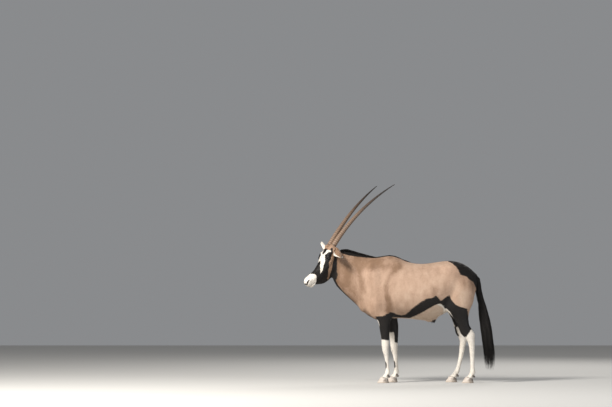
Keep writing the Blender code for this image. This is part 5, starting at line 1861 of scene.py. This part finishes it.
def make_eye(name, side, material):
    """One eyeball under the lids."""
    place = eye_matrix(side)
    eye = ball(name, place @ Matrix.Scale(EYE_RADIUS - CUT_GAP, 4))
    local = np.array((place @ Matrix.Rotation(EYE_SLANT, 4, "Y")).inverted())
    points = point_rows(eye) @ local[:3, :3].T + local[:3, 3]
    outer = points[:, 1] * side > 0
    iris = np.where(outer, np.hypot(points[:, 0], points[:, 2]) / IRIS_REACH, 2.0)
    pupil = np.where(outer, np.hypot(points[:, 0] / PUPIL_REACH[0], points[:, 2] / PUPIL_REACH[1]), 2.0)
    keep_values(eye.data, "iris", iris)
    keep_values(eye.data, "pupil", pupil)
    return finished(eye, material)


eye_material = make_eye_material()
eyes = {}
for label, side in SIDES.items():
    eyes["eye_" + label] = make_eye(f"eye_{label}_ball", side, eye_material)
print("eyes:", list(eyes))

# %% [markdown]
# The horns follow the same curve as the solids, with round sections and more steps. Rings swell on
# the lower part, not quite evenly spaced, and get lower until they end a little over half way up.
# Their crests are paler than the grooves, partly from wear and partly as a painted highlight, fine
# streaks run along the horn, and it is darker and smoother towards its tip.

# %% Horns
HORN_START = (-0.036, 0.033, 0.031)
HORN_LENGTH = 0.885
HORN_RADIUS = 0.0245
HORN_TAPER = 0.85
HORN_TIP_RADIUS = 0.0028
HORN_LEAN = math.radians(2.5)
HORN_BEND = math.radians(24.0)
HORN_SPREAD = (math.radians(3.0), math.radians(11.5))
HORN_SUNK = 0.016
HORN_WHOLE = HORN_LENGTH + HORN_SUNK
HORN_PATH_STEPS = 240
HORN_RINGS = 24
HORN_RINGED = HORN_LENGTH * 0.56
HORN_FIRST_RING = HORN_SUNK + 0.016
HORN_RING_RISE = 0.0018
HORN_SIDES = 28
STEPS_PER_RING = 6
STEPS_TO_TIP = 34
HORN_DARK = (0.028, 0.018, 0.012, 1.0)
HORN_BROWN = (0.140, 0.086, 0.055, 1.0)
HORN_WORN_AND_HIGHLIGHT = (0.230, 0.148, 0.098, 1.0)
HORN_TIP = (0.024, 0.018, 0.015, 1.0)
HORN_STRETCH = (180.0, 180.0, 14.0)
HORN_BUMP = (0.35, 0.0012)


def horn_path(side, distances):
    """Places along the middle line of a horn at rising distances."""
    step = HORN_WHOLE / HORN_PATH_STEPS
    down, across, depth = HORN_START
    place = Vector((down + HORN_SUNK, side * across, -depth))
    travelled = 0.0
    line = [place.copy()]
    while travelled < HORN_WHOLE:
        share = max(travelled - HORN_SUNK, 0.0) / HORN_LENGTH
        bend = HORN_BEND * share - HORN_LEAN
        spread = HORN_SPREAD[0] + (HORN_SPREAD[1] - HORN_SPREAD[0]) * share
        ahead = Vector((-math.cos(bend), side * math.tan(spread), -math.sin(bend)))
        place = place + ahead.normalized() * step
        line.append(place.copy())
        travelled += step
    at = np.arange(len(line)) * step
    rows = np.array([list(point) for point in line])
    places = np.stack([np.interp(distances, at, rows[:, axis]) for axis in range(3)], axis=1)
    return [HEAD @ Vector(place) for place in places.tolist()]


def horn_thickness(share):
    """Radius of the horn under its rings, by share of its length."""
    return HORN_RADIUS * (1.0 - share) ** HORN_TAPER + HORN_TIP_RADIUS * share


def horn_ring_height(distance):
    """Rise of the rings at a distance along the horn."""
    along = (distance - HORN_FIRST_RING) / (HORN_RINGED - HORN_FIRST_RING)
    if along <= 0.0 or along >= 1.0:
        return 0.0
    turn = (along * HORN_RINGS + 0.14 * math.sin(along * 31.0)) % 1.0
    crest = math.sin(math.pi * turn) ** 0.55
    return HORN_RING_RISE * (1.0 - 0.75 * along) * (crest - 0.28)


def make_horn(name, side, material):
    """One horn as a ringed tube with a blunt tip."""
    low = np.linspace(0.0, HORN_RINGED, HORN_RINGS * STEPS_PER_RING)
    high = np.linspace(HORN_RINGED, HORN_WHOLE, STEPS_TO_TIP)[1:]
    distances = np.concatenate([low, high])
    radii = []
    for distance in distances:
        share = max(distance - HORN_SUNK, 0.0) / HORN_LENGTH
        radii.append(horn_thickness(share) + horn_ring_height(distance))
    path = horn_path(side, distances)
    horn = tube(name, path, radii, HORN_SIDES)
    points = point_rows(horn)
    line = BVHTree.FromPolygons(path, [(index, index + 1, index) for index in range(len(path) - 1)])
    nearest = np.array([line.find_nearest(Vector(point))[0] for point in points])
    reach = np.linalg.norm(points - nearest, axis=1)
    along = np.linalg.norm(points - np.array(path[0]), axis=1) / HORN_LENGTH
    ridge = (reach - horn_thickness(along.clip(0, 1))) / HORN_RING_RISE
    keep_values(horn.data, "ridge", ridge)
    keep_values(horn.data, "along", along)
    return finished(horn, material)


def make_horn_material():
    """Dark brown horn, crests paler by wear and a painted highlight, darker and smoother to the tip."""
    made, tree, shader = new_material("horn_dark_brown")
    streaks = noise(tree, stretched(tree, object_places(tree), HORN_STRETCH), 1.0, 4.0)
    along = attribute(tree, "along")
    base = mixed(tree, ranged(tree, streaks, 0.3, 0.7), HORN_DARK, HORN_BROWN)
    # Ring crests paler: partly wear, partly painted highlight.
    worn_and_highlight = mixed(tree, ranged(tree, attribute(tree, "ridge"), 0.1, 0.9), base, HORN_WORN_AND_HIGHLIGHT)
    tip = mixed(tree, ranged(tree, along, 0.45, 0.85), worn_and_highlight, HORN_TIP)
    tree.links.new(tip, shader.inputs["Base Color"])
    tree.links.new(ranged(tree, along, 0.2, 0.9, 0.58, 0.32), shader.inputs["Roughness"])
    bumped(tree, shader, streaks, *HORN_BUMP)
    return made


horn_material = make_horn_material()
horns = {}
for label, side in SIDES.items():
    horns["horn_" + label] = make_horn(f"horn_{label}_ringed", side, horn_material)
print("triangles of a horn:", sum(len(face.vertices) - 2 for face in horns["horn_left"].data.polygons))

# %% [markdown]
# A hoof is two claws with a narrow gap, straight on the inside and rounded outside. The same
# formula as in the solids draws them with more sides. Fine level lines of growth run round the
# wall, and dust gathers near the ground.

# %% Hooves
CLAW_LENGTH = 0.108
CLAW_WIDTH = 0.036
CLAW_INNER = 0.0030
CLAW_TAPER = 0.50
CLAW_TOE_REACH = 0.068
CLAW_SIDES = 40
CLAW_SHARP = math.radians(50.0)
# Each level of a claw: share of its height, set-back of the toe, share of length and of width
CLAW_LEVELS = [
    (0.0, 0.0012, 0.978, 0.94), (0.03, 0.0, 0.998, 0.965), (0.12, 0.002, 0.99, 1.0),
    (0.30, 0.0085, 0.915, 0.995), (0.55, 0.018, 0.80, 0.97), (0.80, 0.0272, 0.71, 0.935),
    (0.93, 0.0320, 0.66, 0.915), (1.0, 0.0350, 0.63, 0.86),
]
CORONET_HEIGHT = 0.046
CORONET_SLOPE = 0.32
DEWCLAW_LENGTH = 0.034
DEWCLAW_RADIUS = 0.0105
DEWCLAW_SIDES = 20
# Rings of a dewclaw: share of its length and of its radius
DEWCLAW_RINGS = [
    (0.0, 0.88), (0.2, 0.96), (0.45, 0.99), (0.65, 0.90), (0.82, 0.74), (0.93, 0.52), (0.985, 0.28),
]
HOOF_PALE = ((0.400, 0.340, 0.295, 1.0), (0.620, 0.555, 0.495, 1.0))
HOOF_DARK = ((0.030, 0.025, 0.023, 1.0), (0.095, 0.080, 0.070, 1.0))
HOOF_DUST = (0.520, 0.430, 0.350, 1.0)
HOOF_STRETCH = (14.0, 14.0, 420.0)
HOOF_BUMP = (0.4, 0.0008)
FEET = ["front_left", "front_right", "hind_left", "hind_right"]


def claw_middle(foot):
    """Where the leg meets the hoof, from the boxes of the two claws in the frame."""
    low_a, high_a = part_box(f"claw_{foot}_a")
    low_b, high_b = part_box(f"claw_{foot}_b")
    toe = min(low_a[0], low_b[0])
    return toe + CLAW_TOE_REACH, (max(low_a[1], low_b[1]) + min(high_a[1], high_b[1])) / 2


def claw_ring(x, middle, side, level):
    """Places round one level of a claw."""
    share, back, length_share, width_share = level
    length = CLAW_LENGTH * length_share
    ring = []
    for step in range(CLAW_SIDES):
        angle = 2 * math.pi * step / CLAW_SIDES
        along = 0.5 - 0.5 * math.cos(angle)
        bulge = math.sin(angle) * side
        if bulge > 0:
            across = CLAW_INNER + CLAW_WIDTH * width_share * (0.25 + 0.75 * bulge ** 0.8)
        else:
            across = CLAW_INNER + CLAW_WIDTH * width_share * 0.25 * (1.0 + bulge)
        narrow = 0.55 + 0.45 * min(along / CLAW_TAPER, 1.0)
        px = x - CLAW_TOE_REACH + back + length * along
        top = CORONET_HEIGHT - CUT_GAP - CORONET_SLOPE * (px - x)
        ring.append(Vector((px, middle + side * across * narrow, share * top)))
    return ring


def make_claw(name, foot, side, material):
    """One claw drawn up level by level."""
    x, middle = claw_middle(foot)
    claw = object_from(drawn_rings([claw_ring(x, middle, side, level) for level in CLAW_LEVELS]), name)
    keep_values(claw.data, "heel", (point_rows(claw)[:, 0] - x + CLAW_TOE_REACH) / CLAW_LENGTH)
    finished(claw, material)
    claw.data.set_sharp_from_angle(angle=CLAW_SHARP)
    return claw


def make_dewclaw(name, node, side, material):
    """One dewclaw between the ends of the solid's box."""
    low, high = (Vector(corner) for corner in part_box(node))
    along = Vector((0.78, side * 0.16, -0.62)).normalized()
    root = (low + high) / 2 - along * DEWCLAW_LENGTH * 0.5
    path = [root + along * DEWCLAW_LENGTH * share for share, _ in DEWCLAW_RINGS]
    dewclaw = tube(name, path, [DEWCLAW_RADIUS * share for _, share in DEWCLAW_RINGS], DEWCLAW_SIDES)
    keep_values(dewclaw.data, "heel", np.ones(len(dewclaw.data.vertices)))
    return finished(dewclaw, material)


def make_hoof_material():
    """Horn paler at the toe and darker at the heel, dust near the ground, and level growth lines."""
    made, tree, shader = new_material("hoof_dusty")
    place = object_places(tree)
    lines = noise(tree, stretched(tree, place, HOOF_STRETCH), 1.0, 2.0)
    height = add_node(tree, "ShaderNodeSeparateXYZ")
    tree.links.new(place, height.inputs["Vector"])
    mottle = ranged(tree, noise(tree, place, 60.0), 0.3, 0.7, -0.20, 0.25)
    dust = added(tree, ranged(tree, height.outputs["Z"], 0.0, 0.040, 0.45, 0.0), mottle)
    pale, dark = (mixed(tree, ranged(tree, lines, 0.3, 0.7), *pair) for pair in (HOOF_PALE, HOOF_DARK))
    heel = ranged(tree, added(tree, attribute(tree, "heel"), mottle), 0.50, 0.85)
    colour = mixed(tree, dust, mixed(tree, heel, pale, dark), HOOF_DUST)
    tree.links.new(colour, shader.inputs["Base Color"])
    shader.inputs["Roughness"].default_value = 0.5
    bumped(tree, shader, lines, *HOOF_BUMP)
    return made


hoof_material = make_hoof_material()
hooves = {}
for foot in FEET:
    for label, side in (("a", -1.0), ("b", 1.0)):
        node = f"claw_{foot}_{label}"
        hooves[node] = make_claw("fine_" + node, foot, side, hoof_material)
        node = f"dewclaw_{foot}_{label}"
        hooves[node] = make_dewclaw("fine_" + node, node, side, hoof_material)
print("pieces of the hooves:", len(hooves))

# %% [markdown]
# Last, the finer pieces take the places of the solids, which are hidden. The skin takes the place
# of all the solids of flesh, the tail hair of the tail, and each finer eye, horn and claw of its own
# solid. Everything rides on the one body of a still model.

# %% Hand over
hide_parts(*FLESH, "ear_left", "ear_right")
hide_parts("tail")
for piece in [skin, *coat]:
    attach(piece, "root")
for group, slot in ((eyes, "eye"), (horns, "horn"), (hooves, "hoof")):
    for node, piece in group.items():
        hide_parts(node)
        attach(piece, "root")
